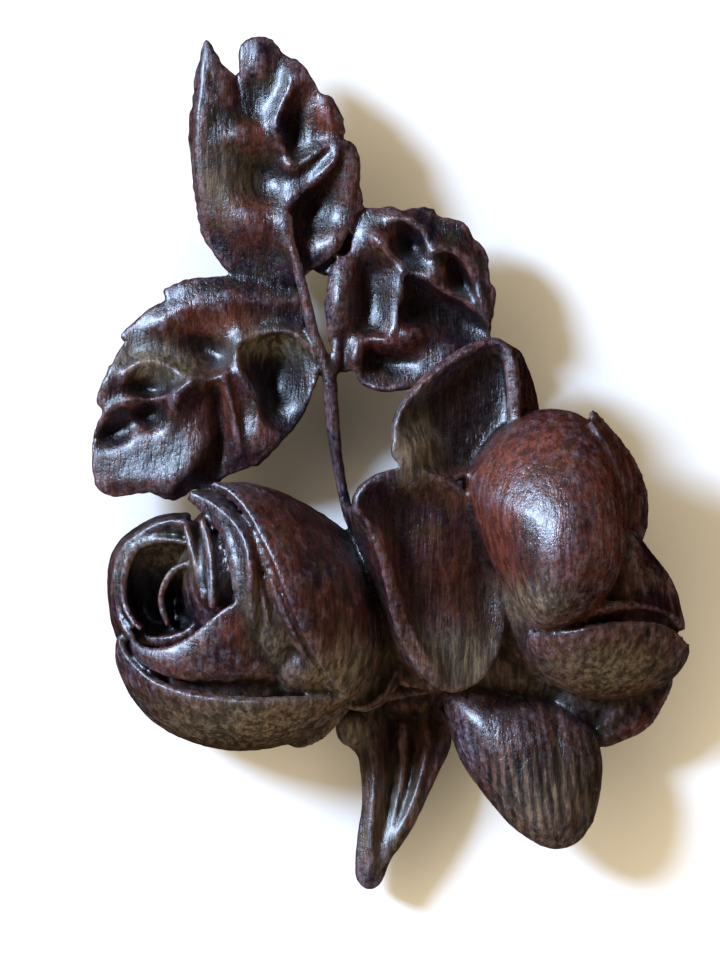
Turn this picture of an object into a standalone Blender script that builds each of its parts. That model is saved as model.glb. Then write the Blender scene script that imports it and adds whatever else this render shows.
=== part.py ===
"""Carved wooden rosette: a spray of two roses and three leaves on a thin stalk, cut from one block.

The tables are in millimetres. X runs to the right and Y to the leaf tip, seen from the front, and Z
runs out of the flat back, which lies in the plane Z = 0. The origin is on that flat back.
"""

import math

import bpy
import bmesh
import numpy as np

MM = 0.001

# Driving dimensions, in millimetres: free edges and bodies of leaves and petals, then the board left
# behind the roses.
LEAF_LIP = 1.7
LEAF_BODY = 2.8
PETAL_LIP = 1.9
PETAL_BODY = 5.0
BOARD_HEIGHT = 9.0

# How the forms are drawn: spacing of their points, size of the skin's grid, facets of the solid, and
# how near the back a corner counts as on it.
MESH_STEP = 1.0
VOXEL = 0.8
TRIANGLES = 9400
BACK_SNAP = 0.05

# Ridges: 1 gives a sharp crest, 2 a round one. Hollows: 1 gives a bowl, 2 a flat floor.
CREST = 1.35
HOLLOW_FLATNESS = 1.25

# Leaf teeth: spacing, depth, and how far both wander. A flared rim starts at this share of the way out.
TOOTH_PITCH = 2.8
TOOTH_DEPTH = 0.55
PITCH_WANDER = 0.7
DEPTH_WANDER = 0.4
FLARE_FROM = 0.72
WOOD_COLOUR = (0.055, 0.028, 0.020, 1.0)


def smooth_curve(points, count, closed=False):
    """Catmull-Rom curve through the points, evenly spaced along its length."""
    p = np.array(points, float)
    if closed:
        p = np.vstack([p[-1], p, p[0], p[1]])
    else:
        p = np.vstack([2 * p[0] - p[1], p, 2 * p[-1] - p[-2]])
    t = np.linspace(0, 1, 24, endpoint=False)[:, None]
    pieces = []
    for a, b, c, d in zip(p[:-3], p[1:-2], p[2:-1], p[3:]):
        pieces.append(
            0.5 * (2 * b + (c - a) * t + (2 * a - 5 * b + 4 * c - d) * t**2 + (3 * b - a - 3 * c + d) * t**3)
        )
    dense = np.vstack(pieces + [p[-2][None]])
    length = np.r_[0, np.cumsum(np.linalg.norm(np.diff(dense, axis=0), axis=1))]
    where = np.linspace(0, length[-1], count, endpoint=not closed)
    return np.column_stack([np.interp(where, length, dense[:, k]) for k in range(dense.shape[1])])


def outline(points, tooth=0.0):
    """Closed plan outline through the points, with saw teeth of that depth along it."""
    ends = np.array(points, float)
    length = np.linalg.norm(ends - np.roll(ends, 1, axis=0), axis=1).sum()
    edge = smooth_curve(points, round(length / MESH_STEP), closed=True)
    way = np.roll(edge, -1, axis=0) - np.roll(edge, 1, axis=0)
    way /= np.linalg.norm(way, axis=1)[:, None]
    turn = np.linspace(0, 2 * math.pi, len(edge), endpoint=False)
    saw = (turn / (2 * math.pi) * round(length / TOOTH_PITCH) + PITCH_WANDER * np.sin(5 * turn)) % 1
    tooth = tooth * (1 - DEPTH_WANDER + DEPTH_WANDER * np.sin(7 * turn))
    return edge + np.column_stack([-way[:, 1], way[:, 0]]) * (tooth * (saw - 0.5))[:, None]


def lump(x, y, centre, half, turn=0, height=1.0):
    """Height of one soft bump, or of a hollow where height is negative."""
    c, s = math.cos(math.radians(turn)), math.sin(math.radians(turn))
    dx, dy = x - centre[0], y - centre[1]
    u = (dx * c + dy * s) / half[0]
    v = (dy * c - dx * s) / half[1]
    return height * np.exp(-((u * u + v * v) ** (HOLLOW_FLATNESS if height < 0 else 1)))


def stroke(x, y, path, left, right, height):
    """Height of one ridge along a path, as wide as left and right on its two sides, or of a groove."""
    line = smooth_curve(path, 40)
    along = np.gradient(line, axis=0)
    along /= np.linalg.norm(along, axis=1)[:, None]
    dx, dy = x[..., None] - line[:, 0], y[..., None] - line[:, 1]
    gap = np.hypot(dx, dy) + 1e-9
    side = (along[:, 0] * dy - along[:, 1] * dx) / gap
    width = 0.5 * (left + right) + 0.5 * (left - right) * side
    ends = np.sin(np.linspace(0.15, math.pi - 0.15, len(line))) ** 0.5
    return height * (np.exp(-((gap / width) ** CREST)) * ends).max(axis=-1)


def relief(x, y, lumps=(), strokes=()):
    z = np.zeros_like(x)
    for one in lumps:
        z += lump(x, y, *one)
    for one in strokes:
        z += stroke(x, y, *one)
    return z


def surface_normals(grid, wraps):
    """Unit normals of a grid of points, rows by columns."""
    if wraps:
        across = np.roll(grid, -1, axis=1) - np.roll(grid, 1, axis=1)
    else:
        across = np.gradient(grid, axis=1)
    normal = np.cross(np.gradient(grid, axis=0), across)
    length = np.linalg.norm(normal, axis=2, keepdims=True)
    return normal / np.maximum(length, 1e-9)


def loft(name, rings):
    """Closed body through rings of points, capped where a ring has not shrunk to a point."""
    rows, columns = rings.shape[:2]
    mesh = bpy.data.meshes.new(name)
    shape = bmesh.new()
    verts = [[shape.verts.new(p * MM) for p in ring] for ring in rings]
    for a, b in zip(verts[:-1], verts[1:]):
        for k in range(columns):
            n = (k + 1) % columns
            shape.faces.new((a[k], a[n], b[n], b[k]))
    shape.faces.new(verts[0][::-1])
    shape.faces.new(verts[-1])
    bmesh.ops.remove_doubles(shape, verts=shape.verts, dist=1e-3 * MM)
    bmesh.ops.recalc_face_normals(shape, faces=shape.faces)
    shape.to_mesh(mesh)
    shape.free()
    obj = bpy.data.objects.new(name, mesh)
    bpy.context.scene.collection.objects.link(obj)
    return obj


def dish(name, points, height, slope=(0, 0), bulge=0.0, crown=(2.0, 1.0), hub=None, flare=0.0,
         lip=PETAL_LIP, body=PETAL_BODY, lumps=(), strokes=(), plumb=False, tooth=0.0):
    """Petal or leaf over a closed outline. Its rim lies on a sloping plane and it bulges to its hub.

    Its thickness is measured square to its face, or straight down where plumb is set.
    """
    edge = outline(points, tooth)
    middle = edge.mean(axis=0)
    hub = middle if hub is None else np.array(hub, float)
    rings = max(6, round(np.linalg.norm(edge - hub, axis=1).max() / MESH_STEP))
    even = np.linspace(0, 1, rings + 1)[1:]
    share = 0.5 * np.sin(even * math.pi / 2) + 0.5 * even
    plan = hub + share[:, None, None] * (edge - hub)
    x, y = plan[..., 0], plan[..., 1]
    z = height + slope[0] * (x - middle[0]) + slope[1] * (y - middle[1])
    z = z + bulge * (1 - share[:, None] ** crown[0]) ** crown[1]
    rim = np.clip((share - FLARE_FROM) / (1 - FLARE_FROM), 0, 1)
    z = z + flare * (rim * rim * (3 - 2 * rim))[:, None]
    z = z + relief(x, y, lumps, strokes)
    top = np.dstack([x, y, z])
    normal = surface_normals(top, wraps=True)
    normal *= np.where(normal[..., 2].mean() < 0, -1, 1)
    if plumb:
        normal = np.array((0, 0, 1.0))
    under = top - normal * (lip + (body - lip) * (1 - share[:, None, None] ** 2))
    poles = [np.repeat(side[:1].mean(axis=1, keepdims=True), top.shape[1], axis=1) for side in (top, under)]
    return loft(name, np.concatenate([poles[0], top, under[::-1], poles[1]]))


def band(name, rim, root, bulge, heart, lip=PETAL_LIP, body=PETAL_BODY):
    """Petal between its free rim and its root. It bulges away from the heart of the rose."""
    length = np.linalg.norm(np.diff(np.array(rim, float), axis=0), axis=1).sum()
    count = max(8, round(length / MESH_STEP))
    a, b = smooth_curve(rim, count), smooth_curve(root, count)
    across = max(5, round(np.linalg.norm(b - a, axis=1).max() / MESH_STEP))
    t = np.linspace(0, 1, across)[None, :, None]
    full = (np.sin(np.linspace(0, math.pi, count)) ** 0.6)[:, None, None]
    flat = a[:, None] * (1 - t) + b[:, None] * t
    normal = surface_normals(flat, wraps=False)
    side = np.sign(((flat - np.array(heart)) * normal).sum())
    surface = flat + side * normal * bulge * full * 4 * (t * (1 - t)) ** 0.8
    normal = side * surface_normals(surface, wraps=False)
    under = surface - normal * (lip * (0.6 + 0.4 * full) + (body - lip) * t * full)
    return loft(name, np.concatenate([surface, under[:, ::-1]], axis=1))


def falling(rim, drop):
    """The root of a narrow petal: its rim moved by drop."""
    return [tuple(np.add(p, drop)) for p in rim]


def stalk(name, path, radii):
    """Tapered round stalk along a path."""
    length = np.linalg.norm(np.diff(np.array(path, float), axis=0), axis=1).sum()
    count = max(8, round(length / MESH_STEP))
    line = smooth_curve(path, count)
    radius = np.interp(np.linspace(0, 1, count), np.linspace(0, 1, len(radii)), radii)
    ends = np.sqrt(np.clip(1 - np.abs(np.linspace(-1, 1, count)) ** (count * 0.8), 0.02, 1))
    tangent = np.gradient(line, axis=0)
    tangent /= np.linalg.norm(tangent, axis=1)[:, None]
    side = np.cross(tangent, (0, 0, 1.0))
    side /= np.linalg.norm(side, axis=1)[:, None]
    up = np.cross(side, tangent)
    angle = np.linspace(0, 2 * math.pi, 10, endpoint=False)
    ring = side[:, None] * np.cos(angle)[None, :, None] + up[:, None] * np.sin(angle)[None, :, None]
    return loft(name, line[:, None] + ring * (radius * ends)[:, None, None])


def core(name, centre, half, turn=0):
    """Solid wood behind the petals: an ellipsoid."""
    bpy.ops.mesh.primitive_uv_sphere_add(segments=24, ring_count=14, radius=MM)
    obj = bpy.context.object
    obj.name = name
    obj.scale = half
    obj.rotation_euler.z = math.radians(turn)
    obj.location = [c * MM for c in centre]
    bpy.ops.object.transform_apply()
    return obj


def left_rose():
    """Half-open rose that faces up and to the left, with nested petals round a deep heart."""
    heart = (-28, -2.1, 10)
    outer_rim = [(-34.8, 22.3, 31), (-31.2, 19.9, 33.5), (-28.2, 16.4, 35.5), (-25.7, 12, 37.5),
        (-23.5, 7.4, 39), (-21.1, 1.9, 39.5), (-18.7, -4.2, 38.5), (-15.8, -10.2, 35.5),
        (-12.7, -14.6, 31), (-9.7, -17.9, 26)]
    outer_root = [(-30.7, 20.4, 24), (-23.5, 18.9, 18), (-16.6, 15.9, 14), (-10.9, 12.5, 12),
        (-6, 8.1, 11), (-3.1, 1.7, 11), (-2.2, -5.9, 11), (-3.7, -12.1, 11), (-6.4, -16.8, 13),
        (-9, -19.1, 17)]
    lower_rim = [(-53, -6.7, 22), (-51, -10.3, 25), (-46.1, -14.7, 29), (-39.9, -17, 31.5),
        (-32.5, -18.2, 33), (-24.2, -18.6, 33), (-16.8, -18.3, 30.5), (-9.9, -18, 25)]
    lower_root = [(-53.1, -7.9, 14), (-50.5, -15.2, 9), (-45, -22.7, 6), (-37.4, -26.6, 5),
        (-30.1, -27.9, 5), (-21.8, -26.9, 6), (-15.5, -24.3, 9), (-10, -20.1, 14)]
    lip_rim = [(-50.7, -6.6, 26), (-47.3, -8.3, 29.2), (-43.5, -8.3, 31.6), (-40.1, -6.9, 33),
        (-37.3, -4.9, 34.4), (-34.6, -2.6, 35.6), (-31.5, -0.6, 36.4), (-27.8, 0.7, 36.8)]
    lip_root = [(-49.7, -10, 24), (-45.1, -12.7, 26), (-38.2, -14.5, 27.5), (-30.8, -15.3, 27.5),
        (-23.3, -15.7, 27), (-16.5, -16.5, 25.5), (-10.1, -18, 24)]
    cup_rim = [(-39.8, 15.1, 29), (-44.2, 14.9, 27.5), (-48.1, 13, 26), (-51.4, 10.4, 24.5),
        (-53.1, 7, 23.5), (-53.5, 2.9, 23), (-53.1, -0.9, 23), (-52.1, -4.6, 24), (-50.2, -7.3, 25.5)]
    cup_root = [(-39.6, 16.5, 14), (-45.3, 15.7, 11), (-49.6, 13.4, 8), (-53.1, 10.5, 7),
        (-54.8, 6.9, 6), (-55.2, 2.2, 6), (-55, -1.8, 6), (-54.2, -5.6, 7), (-52.6, -9, 9)]
    collar_rim = [(-39.5, 11.2, 28.5), (-43.2, 11.9, 27.5), (-47, 11.5, 26.3), (-49.8, 10, 25.3),
        (-51.5, 7.2, 24.6), (-52.3, 3.5, 24), (-52.1, -0.5, 24), (-50.6, -3.8, 25), (-48.5, -5.8, 26)]
    curl_rim = [(-37.8, 7.7, 30), (-40.6, 7.1, 29), (-42.8, 5.8, 28), (-44.3, 3.5, 27.5),
        (-45.1, 0.5, 27), (-44.6, -2.3, 27), (-43.6, -4.7, 27)]
    inner_rims = [
        [(-39.8, 14.5, 30), (-39, 11.4, 31.5), (-38.1, 7.7, 32.5), (-36.9, 3.6, 33), (-36.2, 0.3, 33.5)],
        [(-36.6, 15.6, 32), (-35.4, 10.5, 34), (-34.8, 6.2, 35), (-34.6, 1.8, 35.5), (-34.3, -1.3, 35.5)],
        [(-37.9, 18.8, 30), (-35.1, 16.6, 32), (-32.8, 13.8, 33.8), (-31.3, 10.5, 35.6),
            (-30.4, 6.6, 36.6), (-29.8, 2.6, 37), (-29.3, -1.1, 36.6)],
        [(-39.1, 20.6, 29.5), (-34.9, 18.4, 32.5), (-31.1, 15.1, 35.5), (-28.7, 11.5, 37.8),
            (-27.7, 7.2, 38.8), (-27.4, 1.9, 38.6), (-27, -3.3, 37), (-26.6, -8.6, 33)],
        [(-27.8, 8.5, 35.5), (-26.1, 4.6, 37.2), (-25.2, 0.4, 37.4), (-24.3, -4.2, 36.4),
            (-22.8, -8.7, 34), (-20.5, -12.7, 31), (-17.2, -16, 27.5)],
        [(-27.4, 13.3, 36), (-24.8, 7.8, 37.4), (-22.8, 1.9, 38), (-20.6, -3.7, 37.2),
            (-18, -8.9, 34.6), (-15.3, -13.1, 31.4), (-12.3, -16.6, 27.5)],
    ]
    lips = (1.4, 1.9, 1.9, 3.2, 1.5, 1.6)
    made = [
        band("outer", outer_rim, outer_root, 3.9, heart, lip=2.8, body=6),
        band("lower", lower_rim, lower_root, 3.2, heart, lip=2.2, body=6),
        band("lip", lip_rim, lip_root, 2.6, heart, lip=2.0, body=6),
        band("cup", cup_rim, cup_root, 0.6, (-44.4, 1.7, 12), lip=1.8, body=3),
        band("collar", collar_rim, falling(collar_rim, (0.6, 0.0, -9)), 0.2, (-44.4, 1.7, 12), lip=1.3,
            body=2.2),
        band("curl", curl_rim, falling(curl_rim, (0.6, -0.6, -9)), 0.3, (-41.3, 0, 18), lip=1.2, body=2.5),
        dish("well", [(-38.3, 12.2), (-44.9, 13.2), (-50.5, 9.8), (-52.5, 3.8), (-52.1, -1.8),
            (-48.2, -6.3), (-42.6, -6.6), (-37.8, -3.3), (-36.4, 4.8)], 25.0,
             slope=(0.25, 0.2), bulge=-8.5, crown=(3.0, 1.1), hub=(-43.9, -2.2), lip=2, body=3),
    ]
    for number, (rim, lip) in enumerate(zip(inner_rims, lips), 1):
        made.append(band(f"inner_{number}", rim, falling(rim, (3.0, 0.4, -10)), 0.8, heart, lip=lip,
            body=lip + 2))
    made += [
        core("left_heart", (-23.7, -1.2, 16), (13.0, 17.0, 20.0)),
        core("left_floor", (-43.3, -1.1, 5), (12.0, 14.0, 11.5)),
        core("left_belly", (-30.2, -13.8, 12), (19.0, 10.5, 17.6)),
        core("left_shoulder", (-33.5, 4.8, 16), (8.5, 13.0, 18.4)),
        core("left_tail", (-18.8, -11.5, 12), (10.5, 9.0, 20.5)),
    ]
    return made


def right_rose():
    """Open rose that faces right: a domed bud with broad outer petals round it."""
    dome = [(11.6, 22.1), (13.1, 26.2), (16.3, 30.7), (20.9, 34.2), (26.8, 35.9), (32.8, 35.1),
        (37, 31.8), (39.8, 26.6), (41.5, 21.2), (42.2, 15.1), (41.7, 8.6), (39.3, 2.5), (34.8, -2.6),
        (29.6, -5.2), (25.4, -5.2), (21.8, -2), (18.5, 3.9), (15.5, 10.4), (12.9, 16.6)]
    middle = [(-8.2, 18.8), (-5.3, 22.7), (-0.6, 24.7), (5.5, 24), (11.7, 20.8), (14.8, 14.1),
        (17.6, 6.7), (19.5, -0.8), (19.1, -8.2), (15.8, -14.4), (10.7, -17.2), (6.7, -16.2),
        (2.9, -12.3), (-0.1, -6.5), (-2.1, 0.5), (-4, 8.3), (-6.4, 15.1)]
    upper = [(-0.8, 25.9), (-1.3, 30), (0.3, 35.5), (5.2, 41.1), (12.3, 46.4), (18, 48.4), (21.2, 46.7),
        (22.5, 41.5), (22.3, 35.5), (19.9, 29), (14.9, 24.4), (7.4, 22.7)]
    striped = [(8.5, -17.5), (8.9, -23.1), (11.4, -30.3), (15.5, -36.5), (21.2, -43), (27.8, -47.1),
        (32.9, -46.5), (36.6, -42), (38.3, -34.7), (38.1, -28.8), (35.5, -23.1), (29.3, -19.4),
        (21.7, -17.1), (14.2, -15.6)]
    bowl_rim = [(23.8, -5.8, 27), (26.8, -6.1, 31), (31.3, -5.4, 33.5), (35.9, -4.5, 34),
        (41.6, -3.8, 32), (47.4, -3.9, 28), (51.4, -5.5, 23), (54.5, -8.5, 18)]
    bowl_root = [(24.1, -6.7, 22), (25.6, -11.4, 16), (29.7, -16, 13), (35.6, -18.7, 11),
        (42.1, -18.9, 11), (47.9, -17.2, 12), (52.2, -13.4, 13), (54.4, -9.3, 16)]
    layer_rim = [(28.8, -5.3, 31), (32.8, -3, 33.5), (37.3, -1.2, 33.5), (42.9, -0.7, 31),
        (47.8, -1.5, 27.5), (52.4, -3.9, 22)]
    return [
        dish("dome", dome, 24.6, slope=(0.24, -0.20), bulge=18.5, crown=(2.0, 0.55), hub=(28.5, 13.3),
            body=14),
        band("dome_petal", [(35.6, 33.6, 29), (37.7, 30.7, 31), (39.7, 26.4, 32), (41.2, 21.2, 32),
            (42.2, 15.5, 31), (42.1, 9.9, 29)],
             [(34.7, 31.8, 25), (36.2, 29.8, 25), (38, 25.9, 26), (39.3, 21, 26), (40.1, 15.4, 25),
                 (39.9, 10.2, 25)], 0.3, (26.2, 15, 20), lip=1.1, body=3.0),
        dish("middle_petal", middle, 25.5, slope=(-0.34, 0.06), bulge=-2.2, crown=(2.6, 1.0), hub=(7.8,
            3.8), lip=2.0, body=5,
             lumps=[((9.7, 11.3), (8.0, 12.0), -12, 3.0), ((10.8, -8.3), (8.0, 8.0), -12, 3.2),
                 ((0.3, 22.1), (6.0, 3.0), 0, 1.6)],
             flare=0.8, strokes=[([(-5.1, 17.3), (-3.2, 10.9), (-1.3, 4.2), (0.9, -2.5), (3.7, -8.7),
                 (7.6, -14.4)], 1.4, 2.2, 2.0)]),
        band("middle_flank", [(-8.6, 17.8, 27.5), (-6, 12.8, 28.5), (-3.8, 5.8, 28), (-1.7, -1.7, 27),
            (0.9, -9.2, 25.5), (4.6, -14.9, 23.5)],
             [(-10.5, 17.2, 16), (-9, 12.1, 14), (-6.4, 5.1, 12), (-3, -2.1, 11), (-1.1, -9.3, 11),
                 (2.9, -15.3, 11)], 1.4, (7.7, 1.7, 10), body=4),
        dish("upper_petal", upper, 25.0, slope=(-0.26, 0.0), bulge=-2.6, crown=(2.6, 1.0), flare=0.8,
            hub=(12.1, 36.5),
             lip=1.8, body=4, lumps=[((1.9, 28.1), (4.4, 4.8), 0, 3.4)],
             strokes=[([(19, 48.2), (21.2, 44.9), (22, 40.6), (21.6, 36.3)], 1.6, 1.6, 0.8)]),
        band("upper_flank", [(17.5, 47.5, 23.6), (19.4, 47.3, 24.2), (21.1, 45.5, 24.6),
            (22, 41.2, 24.8), (22.2, 35.9, 24.6), (21.8, 30, 24.4)],
             [(18.1, 48.1, 18), (20.6, 48, 14), (23.1, 46.3, 11), (25.5, 40.7, 8), (26.7, 35, 7),
                 (27.3, 30.1, 7)], 0.5, (13.3, 35.8, 10), lip=2.6, body=6),
        dish("striped_petal", striped, 11.5, slope=(0.06, -0.04), bulge=9.0, crown=(2.2, 0.62),
            hub=(20.2, -27.8),
             strokes=[([(28.3, -18.8), (29.4, -24.4), (30.2, -31.5)], 0.8, 1.2, -0.7)]),
        band("bowl", bowl_rim, bowl_root, 3.4, (37.9, -4, 12), lip=1.9, body=6),
        band("layer", layer_rim, falling(layer_rim, (0.3, -2.6, -6)), 0.4, (37.7, -0.1, 15), lip=1.5,
            body=3),
        dish("side_petal", [(39.6, 11.3), (43.3, 13.2), (47, 9.1), (50.8, 4.4), (52.8, -1),
            (53.4, -5.9), (47.6, -4.4), (39.6, -3.6), (33.6, -4), (35.5, 2)], 21.5,
             slope=(-0.4, 0.0), bulge=7.5, crown=(2.2, 0.6), hub=(43.2, 2.9), body=9),
        dish("back_petal", [(35.5, 34.7), (39.7, 32.2), (43.4, 27.7), (46.2, 22.1), (47, 16.5),
            (45.5, 10.3), (41.2, 7.5), (37.4, 15)], 20.5,
             slope=(-0.6, 0.0), bulge=2.6, hub=(41.5, 20.6)),
        dish("low_petal", [(32.1, -17.1), (37.8, -11.5), (47.2, -11.5), (51.7, -14.8), (50.2, -20.1),
            (46.8, -24.8), (41.5, -27.5), (37.4, -28.1), (35.5, -23.7)], 11.5,
             slope=(-0.05, 0.15), bulge=3.0, hub=(41.5, -19), body=4),
        core("right_heart", (28.8, 7.4, 12), (15.0, 25.0, 14.5), 8),
        core("right_belly", (40.1, -2.4, 13), (13.0, 12.5, 16.5)),
        core("middle_core", (3.9, 1.6, 8), (14.0, 16.5, 10.0)),
        core("throat", (23.3, -13.2, 7), (14.0, 9.0, 9.0)),
        core("low_core", (35.2, -17.4, 7), (9.0, 8.0, 8.0)),
        core("upper_core", (15.3, 31, 8), (9.5, 11.0, 9.5)),
    ]


def stem_end():
    """Fluted stem end below the roses, and the sepals beside it."""
    blade = [(-11.3, -23.4), (-10.5, -27.2), (-7.9, -30), (-7.3, -34), (-7.1, -39.1), (-7.9, -44.8),
        (-8.4, -50.5), (-8.1, -53.3), (-6, -55.2), (-3.7, -54.1), (-1.8, -49.9), (0.8, -46.1),
        (3.5, -41.6), (5.8, -36.6), (7.9, -32.1), (9.8, -27.7), (9.2, -22), (0.1, -19.2)]
    blade_strokes = [
        ([(-6.4, -18.4), (-5.2, -27.7), (-4.7, -35.3), (-5.2, -42.9), (-5.8, -53.3)], 2.2, 2.4, 3.2),
        ([(0.7, -25.8), (0.8, -30.6), (0.1, -36.3), (-1.8, -43.8), (-3.3, -51.1)], 1.1, 1.1, 1.6),
        ([(5.4, -25.8), (4.6, -31.5), (2.9, -37.2), (0.5, -42.9), (-1.8, -49.2)], 1.3, 1.2, 2.4),
        ([(9, -23.9), (7.7, -29.6), (6.1, -34.4), (3.9, -39.7), (0.8, -45.7)], 1.2, 1.6, 1.6),
        ([(-1.4, -19.2), (-1.4, -27.7), (-1.6, -36.3), (-2.6, -44.8)], 1.1, 1.4, -2.0),
        ([(2.7, -22), (2.5, -28.7), (1.6, -35.3), (-0.3, -42)], 0.9, 0.9, -1.4),
    ]
    return [
        dish("blade", blade, 7.0, slope=(0.0, -0.04), bulge=0.4, hub=(-2.2, -34.4), lip=4.0, body=5.0,
             strokes=blade_strokes, plumb=True),
        core("knob", (-9, -24.6, 7.5), (3.2, 3.6, 2.6)),
        dish("sepal_dark", [(-20.8, -27.5), (-18.9, -28.3), (-14.7, -26.7), (-10.3, -22.2), (-9, -19.9),
            (-12.2, -20.1), (-17, -23.3)], 11.0, bulge=1.0, lip=1.6, body=3),
        dish("sepal_side", [(-10.1, -19.8), (-7.1, -20.7), (-3.2, -18.1), (-0.7, -13), (-1.8, -7.7),
            (-4.5, -13), (-7.5, -17.1)], 15.0, slope=(-0.1, 0.2),
             bulge=-0.8, flare=0.8, lip=1.5, body=4),
        dish("sepal_mid", [(-3, -4.9), (-0.3, -7.7), (3.4, -13), (7.6, -17.1), (3.8, -17.1),
            (-0.9, -15.6), (-3.4, -10.5)], 14.5, slope=(-0.1, 0.1),
             bulge=1.0, lip=1.5, body=4),
        core("neck", (0.9, -16.7, 4), (9.5, 7.0, 4.4)),
        core("under_neck", (-3.7, -7.9, 7), (8.0, 9.0, 8.5)),
    ]


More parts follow.
